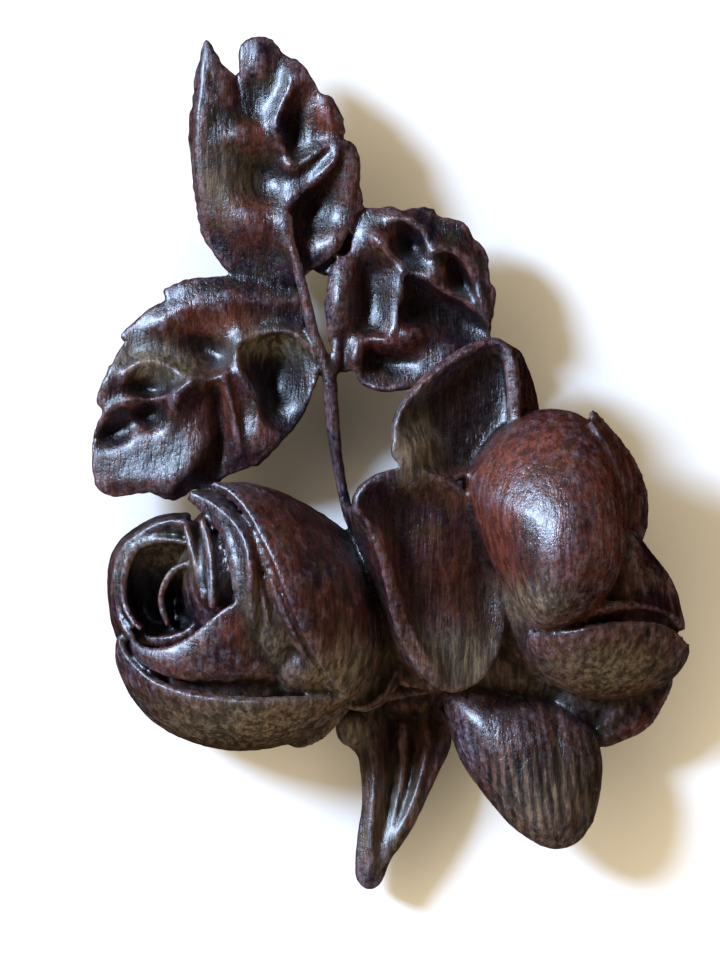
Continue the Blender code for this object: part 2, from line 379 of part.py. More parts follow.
def leaves():
    """Three toothed leaflets, crumpled between their veins."""
    top = [(-18.8, 59.5), (-21.3, 59.5), (-26, 60.6), (-29.6, 61.7), (-32.6, 61.9), (-35.2, 65.5),
        (-37.3, 68.5), (-38.1, 72.7), (-38.8, 76.1), (-39.2, 80.6), (-39.6, 84.7), (-39.9, 88.5),
        (-39.6, 91.2), (-39, 94.9), (-38.8, 98.3), (-38.2, 100.6), (-37.7, 101.3), (-37.5, 103.6),
        (-36.4, 105.7), (-35, 103.6), (-33.2, 100.8), (-30.1, 98), (-30.5, 102.1), (-29.9, 104.7),
        (-28.2, 105.9), (-25.6, 106.2), (-23.2, 104.7), (-21.3, 102.3), (-19.2, 101.7), (-16.6, 98.5),
        (-14.9, 95.3), (-13.2, 94.9), (-11.5, 92.7), (-10.3, 88.9), (-10.5, 86.4), (-9, 86.3),
        (-7.5, 82.9), (-7.5, 78), (-6.9, 75.3), (-8.3, 71.7), (-10.9, 66.8), (-14.1, 63.6), (-17.3, 61.7)]
    left = [(-18.8, 58.4), (-20.7, 59.1), (-24.5, 60.3), (-28.6, 61.8), (-33, 61), (-36.8, 60.8),
        (-40.5, 60.3), (-43.2, 59.1), (-44.9, 58), (-44.1, 56.5), (-47.2, 55), (-49.8, 52.7),
        (-52.8, 49.7), (-51.9, 48.4), (-53.9, 45.5), (-55.8, 41.8), (-57.3, 37.4), (-56, 35.5),
        (-57.5, 32.3), (-58.3, 28.2), (-57.9, 22.9), (-56.4, 20.2), (-53.6, 19.3), (-49.4, 19.9),
        (-46.6, 20), (-44.5, 18.9), (-41.5, 18.9), (-38.5, 21), (-34.9, 22.1), (-30.9, 24),
        (-26.8, 25.3), (-24.1, 27.8), (-21.7, 30.4), (-19.2, 33.1), (-17.1, 37.2), (-15.6, 41.8),
        (-15.8, 45.2), (-17.1, 50.8), (-18.1, 55.5)]
    right = [(-9.4, 65.9), (-7.7, 73.1), (-4.1, 73.8), (-1.1, 74.2), (-0.1, 73.4), (3.8, 74),
        (6.5, 73.6), (7.2, 72.3), (10.6, 71.7), (12.9, 70.4), (14, 67.8), (15.9, 66.6), (16.8, 63.6),
        (17, 60), (18.2, 58.3), (17.8, 54.6), (17.2, 50.8), (17, 47), (10.4, 42.9), (4.8, 40.2),
        (0, 39.3), (-3.7, 39.1), (-7.1, 40.4), (-8.8, 43.1), (-11.8, 42.9), (-12.8, 47), (-13.7, 50.8),
        (-14.1, 56.5), (-13.2, 61.4), (-11.6, 64.4)]
    top_lumps = [
        ((-28.2, 94.2), (3.2, 5.4), 0, -1.0),
        ((-26, 79.1), (3.8, 4.6), 8, -2.6),
        ((-20.3, 88.1), (2.2, 4.6), 0, -2.6),
        ((-16.4, 73.8), (3.8, 5.2), -18, -3.5),
        ((-29.8, 87.4), (4.0, 2.6), 10, 1.6),
        ((-13.5, 91.9), (3.0, 5.6), 28, 1.8),
        ((-9.6, 81.4), (2.4, 5.4), 0, 1.6),
        ((-27.9, 71.2), (5.2, 4.0), -20, 1.8),
        ((-12.4, 67), (2.4, 3.2), -40, 1.6),
        ((-20.7, 81.7), (1.5, 1.3), 0, 1.6),
        ((-18.8, 98.3), (2.4, 2.6), 30, 1.2),
    ]
    top_strokes = [
        ([(-36.4, 104.7), (-37.1, 98.9), (-37.9, 92.3), (-38.2, 85.7), (-37.9, 79.1),
            (-36.7, 72.7)], 7.0, 1.2, 2.8),
        ([(-27.1, 105.5), (-26.7, 102.1), (-26.9, 98.3)], 2.4, 2.6, 1.2),
        ([(-20.7, 99.8), (-20.7, 96.4), (-22, 93.2), (-23, 90), (-22.6, 86.6),
            (-21.3, 83.4)], 2.0, 1.4, 2.8),
        ([(-19.2, 81.4), (-16.7, 83.2), (-13.5, 85.7)], 1.4, 0.7, 1.6),
        ([(-19.6, 75.7), (-16.9, 77.8), (-14.1, 80.4), (-12.2, 83), (-11.8, 85.7)], 1.7, 0.9, 3.0),
        ([(-19.6, 75.7), (-21.1, 73.2), (-21.5, 70), (-20.7, 65.9), (-19.2, 60.6)], 1.1, 1.9, 2.6),
        ([(-18.8, 100.6), (-14.7, 95.7), (-12, 90)], 1.4, 2.2, 1.0),
    ]
    left_lumps = [
        ((-35.4, 46.7), (5.0, 2.4), -28, -3.2),
        ((-23.4, 41.8), (3.8, 6.6), -4, -4.5),
        ((-47.2, 35), (2.8, 2.6), 0, -3.5),
        ((-47.2, 39.7), (3.8, 1.7), -6, -2.4),
        ((-53.6, 31.6), (3.8, 2.1), 24, -2.7),
        ((-47.2, 22.5), (6.0, 2.4), 0, 0.8),
        ((-55.1, 41.8), (2.4, 6.2), -22, 2.2),
        ((-26, 30.1), (5.4, 3.8), 30, 2.4),
        ((-32, 57.1), (11.0, 3.0), -8, 1.8),
        ((-43.8, 52.3), (5.0, 3.0), 20, 1.2),
    ]
    left_strokes = [
        ([(-46.2, 52.3), (-41.1, 54.8), (-35.8, 55), (-32, 53.1), (-29.4, 50.1)], 2.6, 3.0, 1.6),
        ([(-29.6, 48.9), (-30.7, 46.7), (-30.2, 43.6), (-28.3, 40.4), (-26.9, 37.2),
            (-26.2, 33.5)], 0.9, 2.6, 3.6),
        ([(-29.4, 48.6), (-26.4, 49.9), (-22.4, 50.4), (-18.6, 49.1), (-16, 45.7), (-15.8, 41),
            (-17.5, 36.5)], 1.5, 0.9, 3.0),
        ([(-18.6, 47.6), (-17.1, 44), (-17.1, 39.5), (-18.6, 35.3)], 1.2, 3.2, 1.6),
        ([(-40, 42.5), (-36.8, 41.2), (-33.6, 42.3), (-31.5, 45)], 0.9, 1.8, 2.0),
        ([(-33.2, 42.5), (-31.9, 38), (-30.9, 33.5), (-30.5, 28.2)], 0.8, 1.4, 2.0),
        ([(-35.3, 40.2), (-34.3, 36.1), (-33.7, 31.6), (-33.6, 27)], 0.8, 0.8, -1.5),
        ([(-52.6, 39.7), (-51.3, 43.1), (-47.5, 45), (-43.2, 43.8), (-39, 41)], 1.3, 2.2, 2.8),
        ([(-51.3, 38), (-47.5, 37.6), (-43.9, 38.5), (-40.7, 40.4)], 0.8, 0.9, 1.8),
        ([(-37.7, 41.9), (-40, 40.2), (-42.1, 38), (-43.4, 35.3)], 2.6, 1.7, 3.8),
        ([(-56.8, 32.3), (-54.5, 35.9), (-51.3, 37), (-48.8, 36.5)], 1.6, 1.2, 1.8),
        ([(-35.4, 33.8), (-37, 29.1), (-39.2, 24.8), (-43, 21.4), (-47.2, 19.9)], 1.6, 9.0, 3.6),
        ([(-35.3, 35.3), (-34.7, 30.1), (-34.7, 23.6)], 1.3, 1.3, -1.6),
    ]
    right_lumps = [
        ((1.9, 66.6), (2.8, 2.8), 0, -2.9),
        ((11.6, 60.8), (2.4, 4.2), 35, -3.0),
        ((7.2, 62.5), (2.6, 2.6), 20, 1.8),
        ((8.7, 53.8), (7.6, 4.6), -12, -3.4),
        ((14.4, 49.3), (4.6, 3.8), 0, -1.8),
        ((-5.6, 56.5), (3.0, 7.0), 0, -2.4),
        ((-11.5, 56.5), (3.0, 7.8), -6, 3.6),
        ((-3.7, 67.8), (3.8, 3.6), 0, 2.2),
        ((-1.8, 44.8), (4.6, 2.2), 0, -2.2),
        ((-8.1, 45.5), (1.6, 3.0), -8, 3.0),
        ((1.7, 49.9), (2.4, 2.0), 0, 2.8),
        ((9.1, 44), (5.0, 3.4), 30, 1.2),
    ]
    right_strokes = [
        ([(-2.6, 71.7), (0.8, 71.5), (3.8, 69.3), (5.7, 65.5)], 2.0, 0.8, 2.6),
        ([(5.5, 65.1), (8.3, 65.9), (11.2, 64.4), (13.2, 61.2), (14.9, 56.8), (17, 52.3)], 2.0, 0.8, 2.6),
        ([(0.8, 61.7), (4.9, 60.6), (8.7, 58), (12.9, 55.7), (16.8, 52.1)], 1.2, 0.8, 2.4),
        ([(-5.2, 68.5), (-2.6, 65.9), (0, 63.2)], 1.0, 1.3, 1.6),
        ([(0.8, 63.6), (0.4, 60.2), (-0.1, 55.7), (-0.7, 51.9), (-2.2, 49.3)], 1.0, 2.6, 2.6),
        ([(-7.9, 49.1), (-4.1, 48.9), (0.4, 47.4)], 1.2, 1.6, 2.4),
        ([(-7.5, 40.6), (-2.8, 39.5), (2.3, 40.2)], 1.4, 1.0, 1.4),
    ]
    leaf = {"bulge": 1.4, "lip": LEAF_LIP, "body": LEAF_BODY, "plumb": True, "tooth": TOOTH_DEPTH}
    stem = [(-21, 72.9, 16.4), (-20.7, 68, 16.6), (-19.5, 63.5, 16.6), (-18.2, 58.3, 16.4),
        (-16.5, 51.1, 16), (-14.7, 45.7, 15.6), (-13.2, 41.3, 15.4), (-13, 37.6, 15), (-12.4, 31, 14.4),
        (-11.5, 24.4, 13.4), (-10, 17.2, 12.6), (-7.9, 12.7, 12), (-4.5, 8.9, 11)]
    return [
        dish("top_leaf", top, 14.0, slope=(0.02, -0.01), hub=(-28.6, 84.7), lumps=top_lumps,
            strokes=top_strokes, **leaf),
        dish("left_leaf", left, 13.0, slope=(0.03, 0.02), hub=(-36.8, 39.5), lumps=left_lumps,
            strokes=left_strokes, **leaf),
        dish("right_leaf", right, 14.0, slope=(0.0, -0.02), hub=(1.9, 56.5), lumps=right_lumps,
            strokes=right_strokes, **leaf),
        stalk("thin_stem", stem, (0.9, 0.9, 1.0, 1.1, 1.1, 1.2, 1.4, 1.4, 1.25, 1.1, 1.1, 1.3, 1.6)),
        dish("leaf_join", [(-16.6, 63.3), (-12.8, 68.2), (-9.4, 72), (-7.1, 70.1), (-8.6, 66),
            (-11.3, 62.6), (-13.9, 61.1)], 13.2, lip=2.5, body=3, plumb=True),
        stalk("left_petiole", [(-13.3, 42.5, 15.2), (-15.4, 44.7, 15),
            (-18.1, 47.9, 14.6)], (1.3, 1.1, 1.0)),
        stalk("right_petiole", [(-13.2, 41.3, 15.2), (-12, 45.5, 15.2),
            (-11.8, 49.8, 15)], (1.3, 1.1, 1.0)),
        stalk("left_bridge", [(-37.8, 27.2, 10.5), (-35.5, 19.7, 11), (-32.5, 12.1, 11)], (2.0, 2.4, 3.0)),
        stalk("right_bridge", [(4.8, 47.1, 11), (9.1, 40.5, 11), (13.3, 32, 11)], (2.0, 2.6, 3.2)),
    ]


def back_board():
    """What is left of the board behind the two roses. It sits well inside their outline."""
    edge = [(-47.5, -0.3), (-44.6, 8.2), (-35.1, 13), (-20.8, 12.6), (-9, 6.1), (-1.4, 13), (7.7, 18.7),
        (19.1, 25.4), (30.6, 27.3), (39.1, 22.5), (42.9, 11.1), (46.7, -0.3), (44.8, -10.8),
        (35.3, -15.6), (22.9, -17.5), (9.6, -17.5), (-3.7, -19.4), (-18.9, -20.3), (-35.1, -20.3),
        (-45.6, -12.7)]
    return dish("back_board", edge, BOARD_HEIGHT, lip=BOARD_HEIGHT + 2, body=BOARD_HEIGHT + 2, plumb=True)


def saw_back_flat(obj):
    """Cuts off what lies below Z = 0 and closes the cut with a flat face."""
    shape = bmesh.new()
    shape.from_mesh(obj.data)
    bmesh.ops.bisect_plane(shape, geom=shape.verts[:] + shape.edges[:] + shape.faces[:], dist=1e-4 * MM,
                           plane_co=(0, 0, 0), plane_no=(0, 0, 1), clear_inner=True)
    cut = [edge for edge in shape.edges if edge.is_boundary]
    bmesh.ops.triangle_fill(shape, edges=cut, use_beauty=True)
    bmesh.ops.recalc_face_normals(shape, faces=shape.faces)
    shape.to_mesh(obj.data)
    shape.free()


def keep_outer_skin(obj):
    """Fills what is closed in: keeps only the skin with the most corners."""
    shape = bmesh.new()
    shape.from_mesh(obj.data)
    left = set(shape.verts)
    largest = set()
    while left:
        start = left.pop()
        island, edge_of_island = {start}, [start]
        while edge_of_island:
            vertex = edge_of_island.pop()
            for link in vertex.link_edges:
                other = link.other_vert(vertex)
                if other in left:
                    left.remove(other)
                    island.add(other)
                    edge_of_island.append(other)
        if len(island) > len(largest):
            largest = island
    bmesh.ops.delete(shape, geom=[v for v in shape.verts if v not in largest], context="VERTS")
    shape.to_mesh(obj.data)
    shape.free()


def settle_back(obj):
    """Puts the corners of the flat back exactly on Z = 0 again after the thinning."""
    for vertex in obj.data.vertices:
        if vertex.co.z < BACK_SNAP * MM:
            vertex.co.z = 0.0


def wood():
    material = bpy.data.materials.new("dark_waxed_wood")
    material.use_nodes = True
    shader = material.node_tree.nodes["Principled BSDF"]
    shader.inputs["Base Color"].default_value = WOOD_COLOUR
    shader.inputs["Roughness"].default_value = 0.42
    shader.inputs["Metallic"].default_value = 0.0
    return material


def carve():
    """Every form joined as one solid, made one skin, thinned to few facets and cut flat at the back."""
    forms = left_rose() + right_rose() + stem_end() + leaves() + [back_board()]
    for obj in bpy.context.scene.objects:
        obj.select_set(obj in forms)
    bpy.context.view_layer.objects.active = forms[0]
    bpy.ops.object.join()
    spray = bpy.context.object
    spray.name = "rose_spray"
    spray.data.name = "rose_spray"
    skin = spray.modifiers.new("skin", "REMESH")
    skin.mode = "VOXEL"
    skin.voxel_size = VOXEL * MM
    bpy.ops.object.modifier_apply(modifier=skin.name)
    keep_outer_skin(spray)
    saw_back_flat(spray)
    keep_outer_skin(spray)
    facets = sum(len(face.vertices) - 2 for face in spray.data.polygons)
    thin = spray.modifiers.new("thin", "DECIMATE")
    thin.ratio = TRIANGLES / facets
    bpy.ops.object.modifier_apply(modifier=thin.name)
    settle_back(spray)
    spray.data.materials.clear()
    spray.data.materials.append(wood())
    spray.data.shade_smooth()
    return spray


def main():
    for obj in list(bpy.data.objects):
        bpy.data.objects.remove(obj)
    return carve()


spray = main()
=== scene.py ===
# Carved wooden spray of two roses and three leaves, dressed over its CAD solid.
# Lengths in the tables are in millimetres. X runs right and Y up to the leaf tip, seen from the front,
# and Z comes out of the flat back, which lies on the floor. Petals and leaves are lofted from their
# outlines, because no primitive comes close to them, and they keep the forms of the solid.
import math

import bpy
import bmesh
import numpy as np
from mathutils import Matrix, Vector, noise


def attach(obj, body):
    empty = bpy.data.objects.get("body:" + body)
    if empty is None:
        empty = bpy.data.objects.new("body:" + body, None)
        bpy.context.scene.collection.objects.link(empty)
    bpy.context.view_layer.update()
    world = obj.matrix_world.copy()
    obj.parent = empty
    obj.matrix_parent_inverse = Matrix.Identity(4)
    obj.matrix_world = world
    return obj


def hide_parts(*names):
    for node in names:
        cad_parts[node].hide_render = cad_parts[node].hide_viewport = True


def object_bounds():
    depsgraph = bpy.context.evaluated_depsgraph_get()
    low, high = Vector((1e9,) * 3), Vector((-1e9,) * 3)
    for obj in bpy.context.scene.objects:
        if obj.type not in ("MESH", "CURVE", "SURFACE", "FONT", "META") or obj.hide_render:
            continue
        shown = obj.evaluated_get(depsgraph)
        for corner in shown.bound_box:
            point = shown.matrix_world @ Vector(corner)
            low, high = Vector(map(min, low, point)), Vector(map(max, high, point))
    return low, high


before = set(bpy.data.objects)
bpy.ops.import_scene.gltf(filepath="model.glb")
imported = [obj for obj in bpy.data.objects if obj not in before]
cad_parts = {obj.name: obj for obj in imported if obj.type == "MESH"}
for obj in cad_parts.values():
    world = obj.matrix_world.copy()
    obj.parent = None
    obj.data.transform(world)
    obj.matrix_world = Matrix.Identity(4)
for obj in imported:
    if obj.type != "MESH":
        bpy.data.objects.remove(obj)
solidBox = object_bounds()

mm = 0.001

spray = {
    "name": "carved_spray",
    "meshStep": 0.6,
    "voxel": 0.5,
    "leafLip": 1.7,  # wood at a leaf's rim, and at its middle
    "leafBody": 2.8,
    "petalLip": 1.9,
    "petalBody": 5.0,
    "boardHeight": 9.0,
    "backSnap": 0.05,
    "crest": 1.35,  # higher makes ridges flatter on top
    "hollowFlatness": 1.25,
    "toothPitch": 2.8,
    "toothDepth": 0.55,
    "pitchWander": 0.7,
    "depthWander": 0.4,
    "flareFrom": 0.72,  # share of the way from hub to rim
    "triangles": 190000,
    "curveSteps": 24,
    "strokePoints": 40,
    "strokeEnds": 0.15,
    "petalEnds": 0.6,  # lower makes a wrapped petal fuller towards its ends
    "petalCrown": 0.8,
    "stalkSides": 10,
    "coreSegments": 24,
    "coreRings": 14,
    "toolMarks": [((0.55, 0.30, 0.45), 0, 0.12), ((1.4, 0.7, 1.2), 9, 0.06)],  # per mm, shift, depth
    "ridgeRounds": 6,
    "ridgeHeight": 0.16,
    "hollowRounds": 60,
    "hollowDepth": 1.2,
}


def smoothCurve(points, count, closed=False):
    # Catmull-Rom curve through the points, evenly spaced along its length.
    p = np.array(points, float)
    if closed:
        p = np.vstack([p[-1], p, p[0], p[1]])
    else:
        p = np.vstack([2 * p[0] - p[1], p, 2 * p[-1] - p[-2]])
    t = np.linspace(0, 1, spray["curveSteps"], endpoint=False)[:, None]
    pieces = []
    for a, b, c, d in zip(p[:-3], p[1:-2], p[2:-1], p[3:]):
        bend = (2 * a - 5 * b + 4 * c - d) * t**2 + (3 * b - a - 3 * c + d) * t**3
        pieces.append(0.5 * (2 * b + (c - a) * t + bend))
    dense = np.vstack(pieces + [p[-2][None]])
    length = np.r_[0, np.cumsum(np.linalg.norm(np.diff(dense, axis=0), axis=1))]
    where = np.linspace(0, length[-1], count, endpoint=not closed)
    return np.column_stack([np.interp(where, length, dense[:, k]) for k in range(dense.shape[1])])


def planOutline(points, tooth=0.0):
    # Closed plan outline through the points, with saw teeth of that depth along it.
    ends = np.array(points, float)
    length = np.linalg.norm(ends - np.roll(ends, 1, axis=0), axis=1).sum()
    edge = smoothCurve(points, round(length / spray["meshStep"]), closed=True)
    way = np.roll(edge, -1, axis=0) - np.roll(edge, 1, axis=0)
    way /= np.linalg.norm(way, axis=1)[:, None]
    turn = np.linspace(0, 2 * math.pi, len(edge), endpoint=False)
    teeth = round(length / spray["toothPitch"])
    saw = (turn / (2 * math.pi) * teeth + spray["pitchWander"] * np.sin(5 * turn)) % 1
    tooth = tooth * (1 - spray["depthWander"] + spray["depthWander"] * np.sin(7 * turn))
    return edge + np.column_stack([-way[:, 1], way[:, 0]]) * (tooth * (saw - 0.5))[:, None]


def softLump(x, y, centre, half, turn=0, height=1.0):
    # Height of one soft bump, or of a hollow where height is negative.
    c, s = math.cos(math.radians(turn)), math.sin(math.radians(turn))
    dx, dy = x - centre[0], y - centre[1]
    u = (dx * c + dy * s) / half[0]
    v = (dy * c - dx * s) / half[1]
    return height * np.exp(-((u * u + v * v) ** (spray["hollowFlatness"] if height < 0 else 1)))


def longStroke(x, y, path, left, right, height):
    # Height of one ridge along a path, as wide as left and right on its two sides, or of a groove.
    line = smoothCurve(path, spray["strokePoints"])
    along = np.gradient(line, axis=0)
    along /= np.linalg.norm(along, axis=1)[:, None]
    dx, dy = x[..., None] - line[:, 0], y[..., None] - line[:, 1]
    gap = np.hypot(dx, dy) + 1e-9
    side = (along[:, 0] * dy - along[:, 1] * dx) / gap
    width = 0.5 * (left + right) + 0.5 * (left - right) * side
    ends = np.sin(np.linspace(spray["strokeEnds"], math.pi - spray["strokeEnds"], len(line))) ** 0.5
    return height * (np.exp(-((gap / width) ** spray["crest"])) * ends).max(axis=-1)


def relief(x, y, lumps=(), strokes=()):
    z = np.zeros_like(x)
    for one in lumps:
        z += softLump(x, y, *one)
    for one in strokes:
        z += longStroke(x, y, *one)
    return z


def surfaceNormals(grid, wraps):
    # Unit normals of a grid of points, rows by columns.
    if wraps:
        across = np.roll(grid, -1, axis=1) - np.roll(grid, 1, axis=1)
    else:
        across = np.gradient(grid, axis=1)
    normal = np.cross(np.gradient(grid, axis=0), across)
    length = np.linalg.norm(normal, axis=2, keepdims=True)
    return normal / np.maximum(length, 1e-9)


def loftRings(name, rings):
    # Closed body through rings of points, capped where a ring has not shrunk to a point.
    columns = rings.shape[1]
    mesh = bpy.data.meshes.new(name)
    shape = bmesh.new()
    verts = [[shape.verts.new(p * mm) for p in ring] for ring in rings]
    for a, b in zip(verts[:-1], verts[1:]):
        for k in range(columns):
            n = (k + 1) % columns
            shape.faces.new((a[k], a[n], b[n], b[k]))
    shape.faces.new(verts[0][::-1])
    shape.faces.new(verts[-1])
    bmesh.ops.remove_doubles(shape, verts=shape.verts, dist=1e-3 * mm)
    bmesh.ops.recalc_face_normals(shape, faces=shape.faces)
    shape.to_mesh(mesh)
    shape.free()
    obj = bpy.data.objects.new(name, mesh)
    bpy.context.scene.collection.objects.link(obj)
    return obj


def cuppedPetal(name, points, height, slope=(0, 0), bulge=0.0, crown=(2.0, 1.0), hub=None, flare=0.0,
        lip=spray["petalLip"], body=spray["petalBody"], lumps=(), strokes=(), plumb=False, tooth=0.0):
    # Petal or leaf over a closed outline. Its rim lies on a sloping plane and it bulges to its hub.
    # Its thickness is measured square to its face, or straight down where plumb is set.
    edge = planOutline(points, tooth)
    middle = edge.mean(axis=0)
    hub = middle if hub is None else np.array(hub, float)
    rings = max(6, round(np.linalg.norm(edge - hub, axis=1).max() / spray["meshStep"]))
    even = np.linspace(0, 1, rings + 1)[1:]
    share = 0.5 * np.sin(even * math.pi / 2) + 0.5 * even
    plan = hub + share[:, None, None] * (edge - hub)
    x, y = plan[..., 0], plan[..., 1]
    z = height + slope[0] * (x - middle[0]) + slope[1] * (y - middle[1])
    z = z + bulge * (1 - share[:, None] ** crown[0]) ** crown[1]
    rim = np.clip((share - spray["flareFrom"]) / (1 - spray["flareFrom"]), 0, 1)
    z = z + flare * (rim * rim * (3 - 2 * rim))[:, None]
    z = z + relief(x, y, lumps, strokes)
    top = np.dstack([x, y, z])
    normal = surfaceNormals(top, wraps=True)
    normal *= np.where(normal[..., 2].mean() < 0, -1, 1)
    if plumb:
        normal = np.array((0, 0, 1.0))
    under = top - normal * (lip + (body - lip) * (1 - share[:, None, None] ** 2))
    first, last = [np.repeat(side[:1].mean(axis=1, keepdims=True), top.shape[1], axis=1)
        for side in (top, under)]
    return loftRings(name, np.concatenate([first, top, under[::-1], last]))


def wrappedPetal(name, rim, root, bulge, heart, lip=spray["petalLip"], body=spray["petalBody"]):
    # Petal between its free rim and its root. It bulges away from the heart of the rose.
    length = np.linalg.norm(np.diff(np.array(rim, float), axis=0), axis=1).sum()
    count = max(8, round(length / spray["meshStep"]))
    a, b = smoothCurve(rim, count), smoothCurve(root, count)
    across = max(5, round(np.linalg.norm(b - a, axis=1).max() / spray["meshStep"]))
    t = np.linspace(0, 1, across)[None, :, None]
    full = (np.sin(np.linspace(0, math.pi, count)) ** spray["petalEnds"])[:, None, None]
    flat = a[:, None] * (1 - t) + b[:, None] * t
    normal = surfaceNormals(flat, wraps=False)
    side = np.sign(((flat - np.array(heart)) * normal).sum())
    surface = flat + side * normal * bulge * full * 4 * (t * (1 - t)) ** spray["petalCrown"]
    normal = side * surfaceNormals(surface, wraps=False)
    under = surface - normal * (lip * (0.6 + 0.4 * full) + (body - lip) * t * full)
    return loftRings(name, np.concatenate([surface, under[:, ::-1]], axis=1))


def rootBelow(rim, drop):
    # The root of a narrow petal: its rim moved by drop.
    return [tuple(np.add(p, drop)) for p in rim]


def roundStalk(name, path, radii):
    # Tapered round stalk along a path.
    length = np.linalg.norm(np.diff(np.array(path, float), axis=0), axis=1).sum()
    count = max(8, round(length / spray["meshStep"]))
    line = smoothCurve(path, count)
    radius = np.interp(np.linspace(0, 1, count), np.linspace(0, 1, len(radii)), radii)
    ends = np.sqrt(np.clip(1 - np.abs(np.linspace(-1, 1, count)) ** (count * 0.8), 0.02, 1))
    tangent = np.gradient(line, axis=0)
    tangent /= np.linalg.norm(tangent, axis=1)[:, None]
    side = np.cross(tangent, (0, 0, 1.0))
    side /= np.linalg.norm(side, axis=1)[:, None]
    up = np.cross(side, tangent)
    angle = np.linspace(0, 2 * math.pi, spray["stalkSides"], endpoint=False)
    ring = side[:, None] * np.cos(angle)[None, :, None] + up[:, None] * np.sin(angle)[None, :, None]
    return loftRings(name, line[:, None] + ring * (radius * ends)[:, None, None])


def solidCore(name, centre, half, turn=0):
    # Solid wood behind the petals: an ellipsoid.
    bpy.ops.mesh.primitive_uv_sphere_add(segments=spray["coreSegments"], ring_count=spray["coreRings"],
        radius=mm)
    obj = bpy.context.object
    obj.name = name
    obj.scale = half
    obj.rotation_euler.z = math.radians(turn)
    obj.location = [c * mm for c in centre]
    bpy.ops.object.transform_apply()
    return obj


